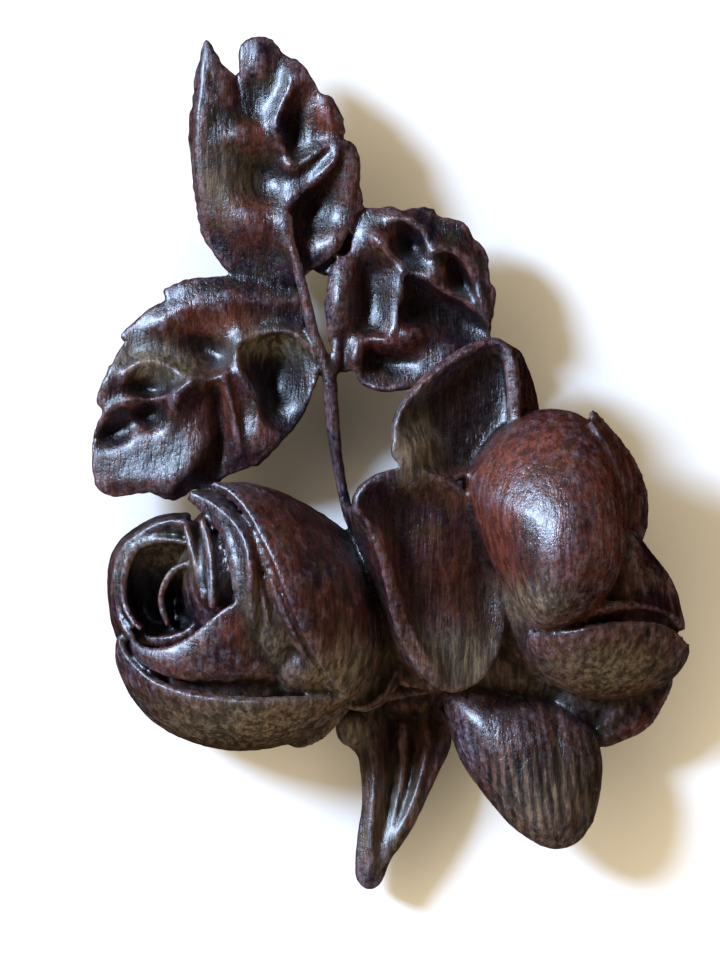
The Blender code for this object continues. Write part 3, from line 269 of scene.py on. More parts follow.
def leftRose():
    # Half-open rose that faces up and to the left, with nested petals round a deep heart.
    heart = (-28, -2.1, 10)
    outerRim = [(-34.8, 22.3, 31), (-31.2, 19.9, 33.5), (-28.2, 16.4, 35.5), (-25.7, 12, 37.5),
        (-23.5, 7.4, 39), (-21.1, 1.9, 39.5), (-18.7, -4.2, 38.5), (-15.8, -10.2, 35.5),
        (-12.7, -14.6, 31), (-9.7, -17.9, 26)]
    outerRoot = [(-30.7, 20.4, 24), (-23.5, 18.9, 18), (-16.6, 15.9, 14), (-10.9, 12.5, 12),
        (-6, 8.1, 11), (-3.1, 1.7, 11), (-2.2, -5.9, 11), (-3.7, -12.1, 11), (-6.4, -16.8, 13),
        (-9, -19.1, 17)]
    lowerRim = [(-53, -6.7, 22), (-51, -10.3, 25), (-46.1, -14.7, 29), (-39.9, -17, 31.5),
        (-32.5, -18.2, 33), (-24.2, -18.6, 33), (-16.8, -18.3, 30.5), (-9.9, -18, 25)]
    lowerRoot = [(-53.1, -7.9, 14), (-50.5, -15.2, 9), (-45, -22.7, 6), (-37.4, -26.6, 5),
        (-30.1, -27.9, 5), (-21.8, -26.9, 6), (-15.5, -24.3, 9), (-10, -20.1, 14)]
    lipRim = [(-50.7, -6.6, 26), (-47.3, -8.3, 29.2), (-43.5, -8.3, 31.6), (-40.1, -6.9, 33),
        (-37.3, -4.9, 34.4), (-34.6, -2.6, 35.6), (-31.5, -0.6, 36.4), (-27.8, 0.7, 36.8)]
    lipRoot = [(-49.7, -10, 24), (-45.1, -12.7, 26), (-38.2, -14.5, 27.5), (-30.8, -15.3, 27.5),
        (-23.3, -15.7, 27), (-16.5, -16.5, 25.5), (-10.1, -18, 24)]
    cupRim = [(-39.8, 15.1, 29), (-44.2, 14.9, 27.5), (-48.1, 13, 26), (-51.4, 10.4, 24.5),
        (-53.1, 7, 23.5), (-53.5, 2.9, 23), (-53.1, -0.9, 23), (-52.1, -4.6, 24), (-50.2, -7.3, 25.5)]
    cupRoot = [(-39.6, 16.5, 14), (-45.3, 15.7, 11), (-49.6, 13.4, 8), (-53.1, 10.5, 7),
        (-54.8, 6.9, 6), (-55.2, 2.2, 6), (-55, -1.8, 6), (-54.2, -5.6, 7), (-52.6, -9, 9)]
    collarRim = [(-39.5, 11.2, 28.5), (-43.2, 11.9, 27.5), (-47, 11.5, 26.3), (-49.8, 10, 25.3),
        (-51.5, 7.2, 24.6), (-52.3, 3.5, 24), (-52.1, -0.5, 24), (-50.6, -3.8, 25), (-48.5, -5.8, 26)]
    curlRim = [(-37.8, 7.7, 30), (-40.6, 7.1, 29), (-42.8, 5.8, 28), (-44.3, 3.5, 27.5),
        (-45.1, 0.5, 27), (-44.6, -2.3, 27), (-43.6, -4.7, 27)]
    innerRims = [
        [(-39.8, 14.5, 30), (-39, 11.4, 31.5), (-38.1, 7.7, 32.5), (-36.9, 3.6, 33), (-36.2, 0.3, 33.5)],
        [(-36.6, 15.6, 32), (-35.4, 10.5, 34), (-34.8, 6.2, 35), (-34.6, 1.8, 35.5), (-34.3, -1.3, 35.5)],
        [(-37.9, 18.8, 30), (-35.1, 16.6, 32), (-32.8, 13.8, 33.8), (-31.3, 10.5, 35.6),
            (-30.4, 6.6, 36.6), (-29.8, 2.6, 37), (-29.3, -1.1, 36.6)],
        [(-39.1, 20.6, 29.5), (-34.9, 18.4, 32.5), (-31.1, 15.1, 35.5), (-28.7, 11.5, 37.8),
            (-27.7, 7.2, 38.8), (-27.4, 1.9, 38.6), (-27, -3.3, 37), (-26.6, -8.6, 33)],
        [(-27.8, 8.5, 35.5), (-26.1, 4.6, 37.2), (-25.2, 0.4, 37.4), (-24.3, -4.2, 36.4),
            (-22.8, -8.7, 34), (-20.5, -12.7, 31), (-17.2, -16, 27.5)],
        [(-27.4, 13.3, 36), (-24.8, 7.8, 37.4), (-22.8, 1.9, 38), (-20.6, -3.7, 37.2),
            (-18, -8.9, 34.6), (-15.3, -13.1, 31.4), (-12.3, -16.6, 27.5)],
    ]
    lips = (1.4, 1.9, 1.9, 3.2, 1.5, 1.6)
    made = [
        wrappedPetal("outer", outerRim, outerRoot, 3.9, heart, lip=2.8, body=6),
        wrappedPetal("lower", lowerRim, lowerRoot, 3.2, heart, lip=2.2, body=6),
        wrappedPetal("lip", lipRim, lipRoot, 2.6, heart, lip=2.0, body=6),
        wrappedPetal("cup", cupRim, cupRoot, 0.6, (-44.4, 1.7, 12), lip=1.8, body=3),
        wrappedPetal("collar", collarRim, rootBelow(collarRim, (0.6, 0.0, -9)), 0.2, (-44.4, 1.7, 12),
            lip=1.3, body=2.2),
        wrappedPetal("curl", curlRim, rootBelow(curlRim, (0.6, -0.6, -9)), 0.3, (-41.3, 0, 18), lip=1.2,
            body=2.5),
        cuppedPetal("well", [(-38.3, 12.2), (-44.9, 13.2), (-50.5, 9.8), (-52.5, 3.8), (-52.1, -1.8),
            (-48.2, -6.3), (-42.6, -6.6), (-37.8, -3.3), (-36.4, 4.8)], 25.0,
            slope=(0.25, 0.2), bulge=-8.5, crown=(3.0, 1.1), hub=(-43.9, -2.2), lip=2, body=3),
    ]
    for number, (rim, lip) in enumerate(zip(innerRims, lips), 1):
        made.append(wrappedPetal(f"inner_{number}", rim, rootBelow(rim, (3.0, 0.4, -10)), 0.8, heart,
            lip=lip, body=lip + 2))
    made += [
        solidCore("left_heart", (-23.7, -1.2, 16), (13.0, 17.0, 20.0)),
        solidCore("left_floor", (-43.3, -1.1, 5), (12.0, 14.0, 11.5)),
        solidCore("left_belly", (-30.2, -13.8, 12), (19.0, 10.5, 17.6)),
        solidCore("left_shoulder", (-33.5, 4.8, 16), (8.5, 13.0, 18.4)),
        solidCore("left_tail", (-18.8, -11.5, 12), (10.5, 9.0, 20.5)),
    ]
    return made


def rightRose():
    # Open rose that faces right: a domed bud with broad outer petals round it.
    dome = [(11.6, 22.1), (13.1, 26.2), (16.3, 30.7), (20.9, 34.2), (26.8, 35.9), (32.8, 35.1),
        (37, 31.8), (39.8, 26.6), (41.5, 21.2), (42.2, 15.1), (41.7, 8.6), (39.3, 2.5), (34.8, -2.6),
        (29.6, -5.2), (25.4, -5.2), (21.8, -2), (18.5, 3.9), (15.5, 10.4), (12.9, 16.6)]
    middle = [(-8.2, 18.8), (-5.3, 22.7), (-0.6, 24.7), (5.5, 24), (11.7, 20.8), (14.8, 14.1),
        (17.6, 6.7), (19.5, -0.8), (19.1, -8.2), (15.8, -14.4), (10.7, -17.2), (6.7, -16.2),
        (2.9, -12.3), (-0.1, -6.5), (-2.1, 0.5), (-4, 8.3), (-6.4, 15.1)]
    upper = [(-0.8, 25.9), (-1.3, 30), (0.3, 35.5), (5.2, 41.1), (12.3, 46.4), (18, 48.4), (21.2, 46.7),
        (22.5, 41.5), (22.3, 35.5), (19.9, 29), (14.9, 24.4), (7.4, 22.7)]
    striped = [(8.5, -17.5), (8.9, -23.1), (11.4, -30.3), (15.5, -36.5), (21.2, -43), (27.8, -47.1),
        (32.9, -46.5), (36.6, -42), (38.3, -34.7), (38.1, -28.8), (35.5, -23.1), (29.3, -19.4),
        (21.7, -17.1), (14.2, -15.6)]
    bowlRim = [(23.8, -5.8, 27), (26.8, -6.1, 31), (31.3, -5.4, 33.5), (35.9, -4.5, 34),
        (41.6, -3.8, 32), (47.4, -3.9, 28), (51.4, -5.5, 23), (54.5, -8.5, 18)]
    bowlRoot = [(24.1, -6.7, 22), (25.6, -11.4, 16), (29.7, -16, 13), (35.6, -18.7, 11),
        (42.1, -18.9, 11), (47.9, -17.2, 12), (52.2, -13.4, 13), (54.4, -9.3, 16)]
    layerRim = [(28.8, -5.3, 31), (32.8, -3, 33.5), (37.3, -1.2, 33.5), (42.9, -0.7, 31),
        (47.8, -1.5, 27.5), (52.4, -3.9, 22)]
    return [
        cuppedPetal("dome", dome, 24.6, slope=(0.24, -0.20), bulge=18.5, crown=(2.0, 0.55),
            hub=(28.5, 13.3), body=14),
        wrappedPetal("dome_petal", [(35.6, 33.6, 29), (37.7, 30.7, 31), (39.7, 26.4, 32),
            (41.2, 21.2, 32), (42.2, 15.5, 31), (42.1, 9.9, 29)],
            [(34.7, 31.8, 25), (36.2, 29.8, 25), (38, 25.9, 26), (39.3, 21, 26), (40.1, 15.4, 25),
                (39.9, 10.2, 25)], 0.3, (26.2, 15, 20), lip=1.1, body=3.0),
        cuppedPetal("middle_petal", middle, 25.5, slope=(-0.34, 0.06), bulge=-2.2, crown=(2.6, 1.0),
            hub=(7.8, 3.8), flare=0.8, lip=2.0, body=5,
            lumps=[((9.7, 11.3), (8.0, 12.0), -12, 3.0), ((10.8, -8.3), (8.0, 8.0), -12, 3.2),
                ((0.3, 22.1), (6.0, 3.0), 0, 1.6)],
            strokes=[([(-5.1, 17.3), (-3.2, 10.9), (-1.3, 4.2), (0.9, -2.5), (3.7, -8.7),
                (7.6, -14.4)], 1.4, 2.2, 2.0)]),
        wrappedPetal("middle_flank", [(-8.6, 17.8, 27.5), (-6, 12.8, 28.5), (-3.8, 5.8, 28),
            (-1.7, -1.7, 27), (0.9, -9.2, 25.5), (4.6, -14.9, 23.5)],
            [(-10.5, 17.2, 16), (-9, 12.1, 14), (-6.4, 5.1, 12), (-3, -2.1, 11), (-1.1, -9.3, 11),
                (2.9, -15.3, 11)], 1.4, (7.7, 1.7, 10), body=4),
        cuppedPetal("upper_petal", upper, 25.0, slope=(-0.26, 0.0), bulge=-2.6, crown=(2.6, 1.0),
            hub=(12.1, 36.5), flare=0.8, lip=1.8, body=4,
            lumps=[((1.9, 28.1), (4.4, 4.8), 0, 3.4)],
            strokes=[([(19, 48.2), (21.2, 44.9), (22, 40.6), (21.6, 36.3)], 1.6, 1.6, 0.8)]),
        wrappedPetal("upper_flank", [(17.5, 47.5, 23.6), (19.4, 47.3, 24.2), (21.1, 45.5, 24.6),
            (22, 41.2, 24.8), (22.2, 35.9, 24.6), (21.8, 30, 24.4)],
            [(18.1, 48.1, 18), (20.6, 48, 14), (23.1, 46.3, 11), (25.5, 40.7, 8), (26.7, 35, 7),
                (27.3, 30.1, 7)], 0.5, (13.3, 35.8, 10), lip=2.6, body=6),
        cuppedPetal("striped_petal", striped, 11.5, slope=(0.06, -0.04), bulge=9.0, crown=(2.2, 0.62),
            hub=(20.2, -27.8),
            strokes=[([(28.3, -18.8), (29.4, -24.4), (30.2, -31.5)], 0.8, 1.2, -0.7)]),
        wrappedPetal("bowl", bowlRim, bowlRoot, 3.4, (37.9, -4, 12), lip=1.9, body=6),
        wrappedPetal("layer", layerRim, rootBelow(layerRim, (0.3, -2.6, -6)), 0.4, (37.7, -0.1, 15),
            lip=1.5, body=3),
        cuppedPetal("side_petal", [(39.6, 11.3), (43.3, 13.2), (47, 9.1), (50.8, 4.4), (52.8, -1),
            (53.4, -5.9), (47.6, -4.4), (39.6, -3.6), (33.6, -4), (35.5, 2)], 21.5,
            slope=(-0.4, 0.0), bulge=7.5, crown=(2.2, 0.6), hub=(43.2, 2.9), body=9),
        cuppedPetal("back_petal", [(35.5, 34.7), (39.7, 32.2), (43.4, 27.7), (46.2, 22.1), (47, 16.5),
            (45.5, 10.3), (41.2, 7.5), (37.4, 15)], 20.5, slope=(-0.6, 0.0), bulge=2.6,
            hub=(41.5, 20.6)),
        cuppedPetal("low_petal", [(32.1, -17.1), (37.8, -11.5), (47.2, -11.5), (51.7, -14.8),
            (50.2, -20.1), (46.8, -24.8), (41.5, -27.5), (37.4, -28.1), (35.5, -23.7)], 11.5,
            slope=(-0.05, 0.15), bulge=3.0, hub=(41.5, -19), body=4),
        solidCore("right_heart", (28.8, 7.4, 12), (15.0, 25.0, 14.5), 8),
        solidCore("right_belly", (40.1, -2.4, 13), (13.0, 12.5, 16.5)),
        solidCore("middle_core", (3.9, 1.6, 8), (14.0, 16.5, 10.0)),
        solidCore("throat", (23.3, -13.2, 7), (14.0, 9.0, 9.0)),
        solidCore("low_core", (35.2, -17.4, 7), (9.0, 8.0, 8.0)),
        solidCore("upper_core", (15.3, 31, 8), (9.5, 11.0, 9.5)),
    ]


def stemEnd():
    # Fluted stem end below the roses, and the sepals beside it.
    blade = [(-11.3, -23.4), (-10.5, -27.2), (-7.9, -30), (-7.3, -34), (-7.1, -39.1), (-7.9, -44.8),
        (-8.4, -50.5), (-8.1, -53.3), (-6, -55.2), (-3.7, -54.1), (-1.8, -49.9), (0.8, -46.1),
        (3.5, -41.6), (5.8, -36.6), (7.9, -32.1), (9.8, -27.7), (9.2, -22), (0.1, -19.2)]
    bladeStrokes = [
        ([(-6.4, -18.4), (-5.2, -27.7), (-4.7, -35.3), (-5.2, -42.9), (-5.8, -53.3)], 2.2, 2.4, 3.2),
        ([(0.7, -25.8), (0.8, -30.6), (0.1, -36.3), (-1.8, -43.8), (-3.3, -51.1)], 1.1, 1.1, 1.6),
        ([(5.4, -25.8), (4.6, -31.5), (2.9, -37.2), (0.5, -42.9), (-1.8, -49.2)], 1.3, 1.2, 2.4),
        ([(9, -23.9), (7.7, -29.6), (6.1, -34.4), (3.9, -39.7), (0.8, -45.7)], 1.2, 1.6, 1.6),
        ([(-1.4, -19.2), (-1.4, -27.7), (-1.6, -36.3), (-2.6, -44.8)], 1.1, 1.4, -2.0),
        ([(2.7, -22), (2.5, -28.7), (1.6, -35.3), (-0.3, -42)], 0.9, 0.9, -1.4),
    ]
    return [
        cuppedPetal("blade", blade, 7.0, slope=(0.0, -0.04), bulge=0.4, hub=(-2.2, -34.4), lip=4.0,
            body=5.0, strokes=bladeStrokes, plumb=True),
        solidCore("knob", (-9, -24.6, 7.5), (3.2, 3.6, 2.6)),
        cuppedPetal("sepal_dark", [(-20.8, -27.5), (-18.9, -28.3), (-14.7, -26.7), (-10.3, -22.2),
            (-9, -19.9), (-12.2, -20.1), (-17, -23.3)], 11.0, bulge=1.0, lip=1.6, body=3),
        cuppedPetal("sepal_side", [(-10.1, -19.8), (-7.1, -20.7), (-3.2, -18.1), (-0.7, -13),
            (-1.8, -7.7), (-4.5, -13), (-7.5, -17.1)], 15.0, slope=(-0.1, 0.2), bulge=-0.8,
            flare=0.8, lip=1.5, body=4),
        cuppedPetal("sepal_mid", [(-3, -4.9), (-0.3, -7.7), (3.4, -13), (7.6, -17.1), (3.8, -17.1),
            (-0.9, -15.6), (-3.4, -10.5)], 14.5, slope=(-0.1, 0.1), bulge=1.0, lip=1.5, body=4),
        solidCore("neck", (0.9, -16.7, 4), (9.5, 7.0, 4.4)),
        solidCore("under_neck", (-3.7, -7.9, 7), (8.0, 9.0, 8.5)),
    ]


def leafTrio():
    # Three toothed leaflets, crumpled between their veins.
    top = [(-18.8, 59.5), (-21.3, 59.5), (-26, 60.6), (-29.6, 61.7), (-32.6, 61.9), (-35.2, 65.5),
        (-37.3, 68.5), (-38.1, 72.7), (-38.8, 76.1), (-39.2, 80.6), (-39.6, 84.7), (-39.9, 88.5),
        (-39.6, 91.2), (-39, 94.9), (-38.8, 98.3), (-38.2, 100.6), (-37.7, 101.3), (-37.5, 103.6),
        (-36.4, 105.7), (-35, 103.6), (-33.2, 100.8), (-30.1, 98), (-30.5, 102.1), (-29.9, 104.7),
        (-28.2, 105.9), (-25.6, 106.2), (-23.2, 104.7), (-21.3, 102.3), (-19.2, 101.7), (-16.6, 98.5),
        (-14.9, 95.3), (-13.2, 94.9), (-11.5, 92.7), (-10.3, 88.9), (-10.5, 86.4), (-9, 86.3),
        (-7.5, 82.9), (-7.5, 78), (-6.9, 75.3), (-8.3, 71.7), (-10.9, 66.8), (-14.1, 63.6), (-17.3, 61.7)]
    left = [(-18.8, 58.4), (-20.7, 59.1), (-24.5, 60.3), (-28.6, 61.8), (-33, 61), (-36.8, 60.8),
        (-40.5, 60.3), (-43.2, 59.1), (-44.9, 58), (-44.1, 56.5), (-47.2, 55), (-49.8, 52.7),
        (-52.8, 49.7), (-51.9, 48.4), (-53.9, 45.5), (-55.8, 41.8), (-57.3, 37.4), (-56, 35.5),
        (-57.5, 32.3), (-58.3, 28.2), (-57.9, 22.9), (-56.4, 20.2), (-53.6, 19.3), (-49.4, 19.9),
        (-46.6, 20), (-44.5, 18.9), (-41.5, 18.9), (-38.5, 21), (-34.9, 22.1), (-30.9, 24),
        (-26.8, 25.3), (-24.1, 27.8), (-21.7, 30.4), (-19.2, 33.1), (-17.1, 37.2), (-15.6, 41.8),
        (-15.8, 45.2), (-17.1, 50.8), (-18.1, 55.5)]
    right = [(-9.4, 65.9), (-7.7, 73.1), (-4.1, 73.8), (-1.1, 74.2), (-0.1, 73.4), (3.8, 74),
        (6.5, 73.6), (7.2, 72.3), (10.6, 71.7), (12.9, 70.4), (14, 67.8), (15.9, 66.6), (16.8, 63.6),
        (17, 60), (18.2, 58.3), (17.8, 54.6), (17.2, 50.8), (17, 47), (10.4, 42.9), (4.8, 40.2),
        (0, 39.3), (-3.7, 39.1), (-7.1, 40.4), (-8.8, 43.1), (-11.8, 42.9), (-12.8, 47), (-13.7, 50.8),
        (-14.1, 56.5), (-13.2, 61.4), (-11.6, 64.4)]
    topLumps = [
        ((-28.2, 94.2), (3.2, 5.4), 0, -1.0),
        ((-26, 79.1), (3.8, 4.6), 8, -2.6),
        ((-20.3, 88.1), (2.2, 4.6), 0, -2.6),
        ((-16.4, 73.8), (3.8, 5.2), -18, -3.5),
        ((-29.8, 87.4), (4.0, 2.6), 10, 1.6),
        ((-13.5, 91.9), (3.0, 5.6), 28, 1.8),
        ((-9.6, 81.4), (2.4, 5.4), 0, 1.6),
        ((-27.9, 71.2), (5.2, 4.0), -20, 1.8),
        ((-12.4, 67), (2.4, 3.2), -40, 1.6),
        ((-20.7, 81.7), (1.5, 1.3), 0, 1.6),
        ((-18.8, 98.3), (2.4, 2.6), 30, 1.2),
    ]
    topStrokes = [
        ([(-36.4, 104.7), (-37.1, 98.9), (-37.9, 92.3), (-38.2, 85.7), (-37.9, 79.1),
            (-36.7, 72.7)], 7.0, 1.2, 2.8),
        ([(-27.1, 105.5), (-26.7, 102.1), (-26.9, 98.3)], 2.4, 2.6, 1.2),
        ([(-20.7, 99.8), (-20.7, 96.4), (-22, 93.2), (-23, 90), (-22.6, 86.6),
            (-21.3, 83.4)], 2.0, 1.4, 2.8),
        ([(-19.2, 81.4), (-16.7, 83.2), (-13.5, 85.7)], 1.4, 0.7, 1.6),
        ([(-19.6, 75.7), (-16.9, 77.8), (-14.1, 80.4), (-12.2, 83), (-11.8, 85.7)], 1.7, 0.9, 3.0),
        ([(-19.6, 75.7), (-21.1, 73.2), (-21.5, 70), (-20.7, 65.9), (-19.2, 60.6)], 1.1, 1.9, 2.6),
        ([(-18.8, 100.6), (-14.7, 95.7), (-12, 90)], 1.4, 2.2, 1.0),
    ]
    leftLumps = [
        ((-35.4, 46.7), (5.0, 2.4), -28, -3.2),
        ((-23.4, 41.8), (3.8, 6.6), -4, -4.5),
        ((-47.2, 35), (2.8, 2.6), 0, -3.5),
        ((-47.2, 39.7), (3.8, 1.7), -6, -2.4),
        ((-53.6, 31.6), (3.8, 2.1), 24, -2.7),
        ((-47.2, 22.5), (6.0, 2.4), 0, 0.8),
        ((-55.1, 41.8), (2.4, 6.2), -22, 2.2),
        ((-26, 30.1), (5.4, 3.8), 30, 2.4),
        ((-32, 57.1), (11.0, 3.0), -8, 1.8),
        ((-43.8, 52.3), (5.0, 3.0), 20, 1.2),
    ]
    leftStrokes = [
        ([(-46.2, 52.3), (-41.1, 54.8), (-35.8, 55), (-32, 53.1), (-29.4, 50.1)], 2.6, 3.0, 1.6),
        ([(-29.6, 48.9), (-30.7, 46.7), (-30.2, 43.6), (-28.3, 40.4), (-26.9, 37.2),
            (-26.2, 33.5)], 0.9, 2.6, 3.6),
        ([(-29.4, 48.6), (-26.4, 49.9), (-22.4, 50.4), (-18.6, 49.1), (-16, 45.7), (-15.8, 41),
            (-17.5, 36.5)], 1.5, 0.9, 3.0),
        ([(-18.6, 47.6), (-17.1, 44), (-17.1, 39.5), (-18.6, 35.3)], 1.2, 3.2, 1.6),
        ([(-40, 42.5), (-36.8, 41.2), (-33.6, 42.3), (-31.5, 45)], 0.9, 1.8, 2.0),
        ([(-33.2, 42.5), (-31.9, 38), (-30.9, 33.5), (-30.5, 28.2)], 0.8, 1.4, 2.0),
        ([(-35.3, 40.2), (-34.3, 36.1), (-33.7, 31.6), (-33.6, 27)], 0.8, 0.8, -1.5),
        ([(-52.6, 39.7), (-51.3, 43.1), (-47.5, 45), (-43.2, 43.8), (-39, 41)], 1.3, 2.2, 2.8),
        ([(-51.3, 38), (-47.5, 37.6), (-43.9, 38.5), (-40.7, 40.4)], 0.8, 0.9, 1.8),
        ([(-37.7, 41.9), (-40, 40.2), (-42.1, 38), (-43.4, 35.3)], 2.6, 1.7, 3.8),
        ([(-56.8, 32.3), (-54.5, 35.9), (-51.3, 37), (-48.8, 36.5)], 1.6, 1.2, 1.8),
        ([(-35.4, 33.8), (-37, 29.1), (-39.2, 24.8), (-43, 21.4), (-47.2, 19.9)], 1.6, 9.0, 3.6),
        ([(-35.3, 35.3), (-34.7, 30.1), (-34.7, 23.6)], 1.3, 1.3, -1.6),
    ]
    rightLumps = [
        ((1.9, 66.6), (2.8, 2.8), 0, -2.9),
        ((11.6, 60.8), (2.4, 4.2), 35, -3.0),
        ((7.2, 62.5), (2.6, 2.6), 20, 1.8),
        ((8.7, 53.8), (7.6, 4.6), -12, -3.4),
        ((14.4, 49.3), (4.6, 3.8), 0, -1.8),
        ((-5.6, 56.5), (3.0, 7.0), 0, -2.4),
        ((-11.5, 56.5), (3.0, 7.8), -6, 3.6),
        ((-3.7, 67.8), (3.8, 3.6), 0, 2.2),
        ((-1.8, 44.8), (4.6, 2.2), 0, -2.2),
        ((-8.1, 45.5), (1.6, 3.0), -8, 3.0),
        ((1.7, 49.9), (2.4, 2.0), 0, 2.8),
        ((9.1, 44), (5.0, 3.4), 30, 1.2),
    ]
    rightStrokes = [
        ([(-2.6, 71.7), (0.8, 71.5), (3.8, 69.3), (5.7, 65.5)], 2.0, 0.8, 2.6),
        ([(5.5, 65.1), (8.3, 65.9), (11.2, 64.4), (13.2, 61.2), (14.9, 56.8), (17, 52.3)], 2.0, 0.8, 2.6),
        ([(0.8, 61.7), (4.9, 60.6), (8.7, 58), (12.9, 55.7), (16.8, 52.1)], 1.2, 0.8, 2.4),
        ([(-5.2, 68.5), (-2.6, 65.9), (0, 63.2)], 1.0, 1.3, 1.6),
        ([(0.8, 63.6), (0.4, 60.2), (-0.1, 55.7), (-0.7, 51.9), (-2.2, 49.3)], 1.0, 2.6, 2.6),
        ([(-7.9, 49.1), (-4.1, 48.9), (0.4, 47.4)], 1.2, 1.6, 2.4),
        ([(-7.5, 40.6), (-2.8, 39.5), (2.3, 40.2)], 1.4, 1.0, 1.4),
    ]
    leaf = {"bulge": 1.4, "lip": spray["leafLip"], "body": spray["leafBody"], "plumb": True,
        "tooth": spray["toothDepth"]}
    stem = [(-21, 72.9, 16.4), (-20.7, 68, 16.6), (-19.5, 63.5, 16.6), (-18.2, 58.3, 16.4),
        (-16.5, 51.1, 16), (-14.7, 45.7, 15.6), (-13.2, 41.3, 15.4), (-13, 37.6, 15), (-12.4, 31, 14.4),
        (-11.5, 24.4, 13.4), (-10, 17.2, 12.6), (-7.9, 12.7, 12), (-4.5, 8.9, 11)]
    return [
        cuppedPetal("top_leaf", top, 14.0, slope=(0.02, -0.01), hub=(-28.6, 84.7), lumps=topLumps,
            strokes=topStrokes, **leaf),
        cuppedPetal("left_leaf", left, 13.0, slope=(0.03, 0.02), hub=(-36.8, 39.5), lumps=leftLumps,
            strokes=leftStrokes, **leaf),
        cuppedPetal("right_leaf", right, 14.0, slope=(0.0, -0.02), hub=(1.9, 56.5), lumps=rightLumps,
            strokes=rightStrokes, **leaf),
        roundStalk("thin_stem", stem, (0.9, 0.9, 1.0, 1.1, 1.1, 1.2, 1.4, 1.4, 1.25, 1.1, 1.1, 1.3, 1.6)),
        cuppedPetal("leaf_join", [(-16.6, 63.3), (-12.8, 68.2), (-9.4, 72), (-7.1, 70.1), (-8.6, 66),
            (-11.3, 62.6), (-13.9, 61.1)], 13.2, lip=2.5, body=3, plumb=True),
        roundStalk("left_petiole", [(-13.3, 42.5, 15.2), (-15.4, 44.7, 15),
            (-18.1, 47.9, 14.6)], (1.3, 1.1, 1.0)),
        roundStalk("right_petiole", [(-13.2, 41.3, 15.2), (-12, 45.5, 15.2),
            (-11.8, 49.8, 15)], (1.3, 1.1, 1.0)),
        roundStalk("left_bridge", [(-37.8, 27.2, 10.5), (-35.5, 19.7, 11),
            (-32.5, 12.1, 11)], (2.0, 2.4, 3.0)),
        roundStalk("right_bridge", [(4.8, 47.1, 11), (9.1, 40.5, 11), (13.3, 32, 11)], (2.0, 2.6, 3.2)),
    ]


def backBoard():
    # What is left of the board behind the two roses. It sits well inside their outline.
    edge = [(-47.5, -0.3), (-44.6, 8.2), (-35.1, 13), (-20.8, 12.6), (-9, 6.1), (-1.4, 13), (7.7, 18.7),
        (19.1, 25.4), (30.6, 27.3), (39.1, 22.5), (42.9, 11.1), (46.7, -0.3), (44.8, -10.8),
        (35.3, -15.6), (22.9, -17.5), (9.6, -17.5), (-3.7, -19.4), (-18.9, -20.3), (-35.1, -20.3),
        (-45.6, -12.7)]
    return cuppedPetal("back_board", edge, spray["boardHeight"], lip=spray["boardHeight"] + 2,
        body=spray["boardHeight"] + 2, plumb=True)


def sawBackFlat(obj):
    # Cuts off what lies below Z = 0 and closes the cut with a flat face.
    shape = bmesh.new()
    shape.from_mesh(obj.data)
    bmesh.ops.bisect_plane(shape, geom=shape.verts[:] + shape.edges[:] + shape.faces[:], dist=1e-4 * mm,
        plane_co=(0, 0, 0), plane_no=(0, 0, 1), clear_inner=True)
    cut = [edge for edge in shape.edges if edge.is_boundary]
    bmesh.ops.triangle_fill(shape, edges=cut, use_beauty=True)
    bmesh.ops.recalc_face_normals(shape, faces=shape.faces)
    shape.to_mesh(obj.data)
    shape.free()


def keepOuterSkin(obj):
    # Fills what is closed in: keeps only the skin with the most corners.
    shape = bmesh.new()
    shape.from_mesh(obj.data)
    left = set(shape.verts)
    largest = set()
    while left:
        start = left.pop()
        island, islandEdge = {start}, [start]
        while islandEdge:
            vertex = islandEdge.pop()
            for link in vertex.link_edges:
                other = link.other_vert(vertex)
                if other in left:
                    left.remove(other)
                    island.add(other)
                    islandEdge.append(other)
        if len(island) > len(largest):
            largest = island
    bmesh.ops.delete(shape, geom=[v for v in shape.verts if v not in largest], context="VERTS")
    shape.to_mesh(obj.data)
    shape.free()


def settleBack(obj):
    # Puts the corners of the flat back exactly on Z = 0 again after the thinning.
    for vertex in obj.data.vertices:
        if vertex.co.z < spray["backSnap"] * mm:
            vertex.co.z = 0.0


def joinForms(forms):
    bpy.ops.object.select_all(action="DESELECT")
    for form in forms:
        form.select_set(True)
    bpy.context.view_layer.objects.active = forms[0]
    bpy.ops.object.join()
    return bpy.context.object


def meshArrays(obj):
    # Corner points, corner normals and edges of a mesh, in millimetres.
    mesh = obj.data
    points = np.empty(len(mesh.vertices) * 3)
    mesh.vertices.foreach_get("co", points)
    normals = np.empty(len(mesh.vertices) * 3)
    mesh.vertex_normals.foreach_get("vector", normals)
    edges = np.empty(len(mesh.edges) * 2, int)
    mesh.edges.foreach_get("vertices", edges)
    return points.reshape(-1, 3) / mm, normals.reshape(-1, 3), edges.reshape(-1, 2)


def softened(values, edges, rounds):
    # Each corner takes the mean of its neighbours, so many times over.
    a, b = edges[:, 0], edges[:, 1]
    share = np.bincount(a, minlength=len(values)) + np.bincount(b, minlength=len(values))
    for _ in range(rounds):
        total = np.zeros_like(values)
        for k in range(values.shape[1]):
            total[:, k] = np.bincount(a, values[b, k], len(values))
            total[:, k] += np.bincount(b, values[a, k], len(values))
        values = total / np.maximum(share, 1)[:, None]
    return values


def bulging(points, normals, edges, rounds):
    # How far a corner stands proud of its softened surroundings, or below them.
    return ((points - softened(points, edges, rounds)) * normals).sum(axis=1)


def paintAttribute(obj, name, values):
    layer = obj.data.attributes.new(name, "FLOAT", "POINT")
    layer.data.foreach_set("value", values.astype(np.float32))


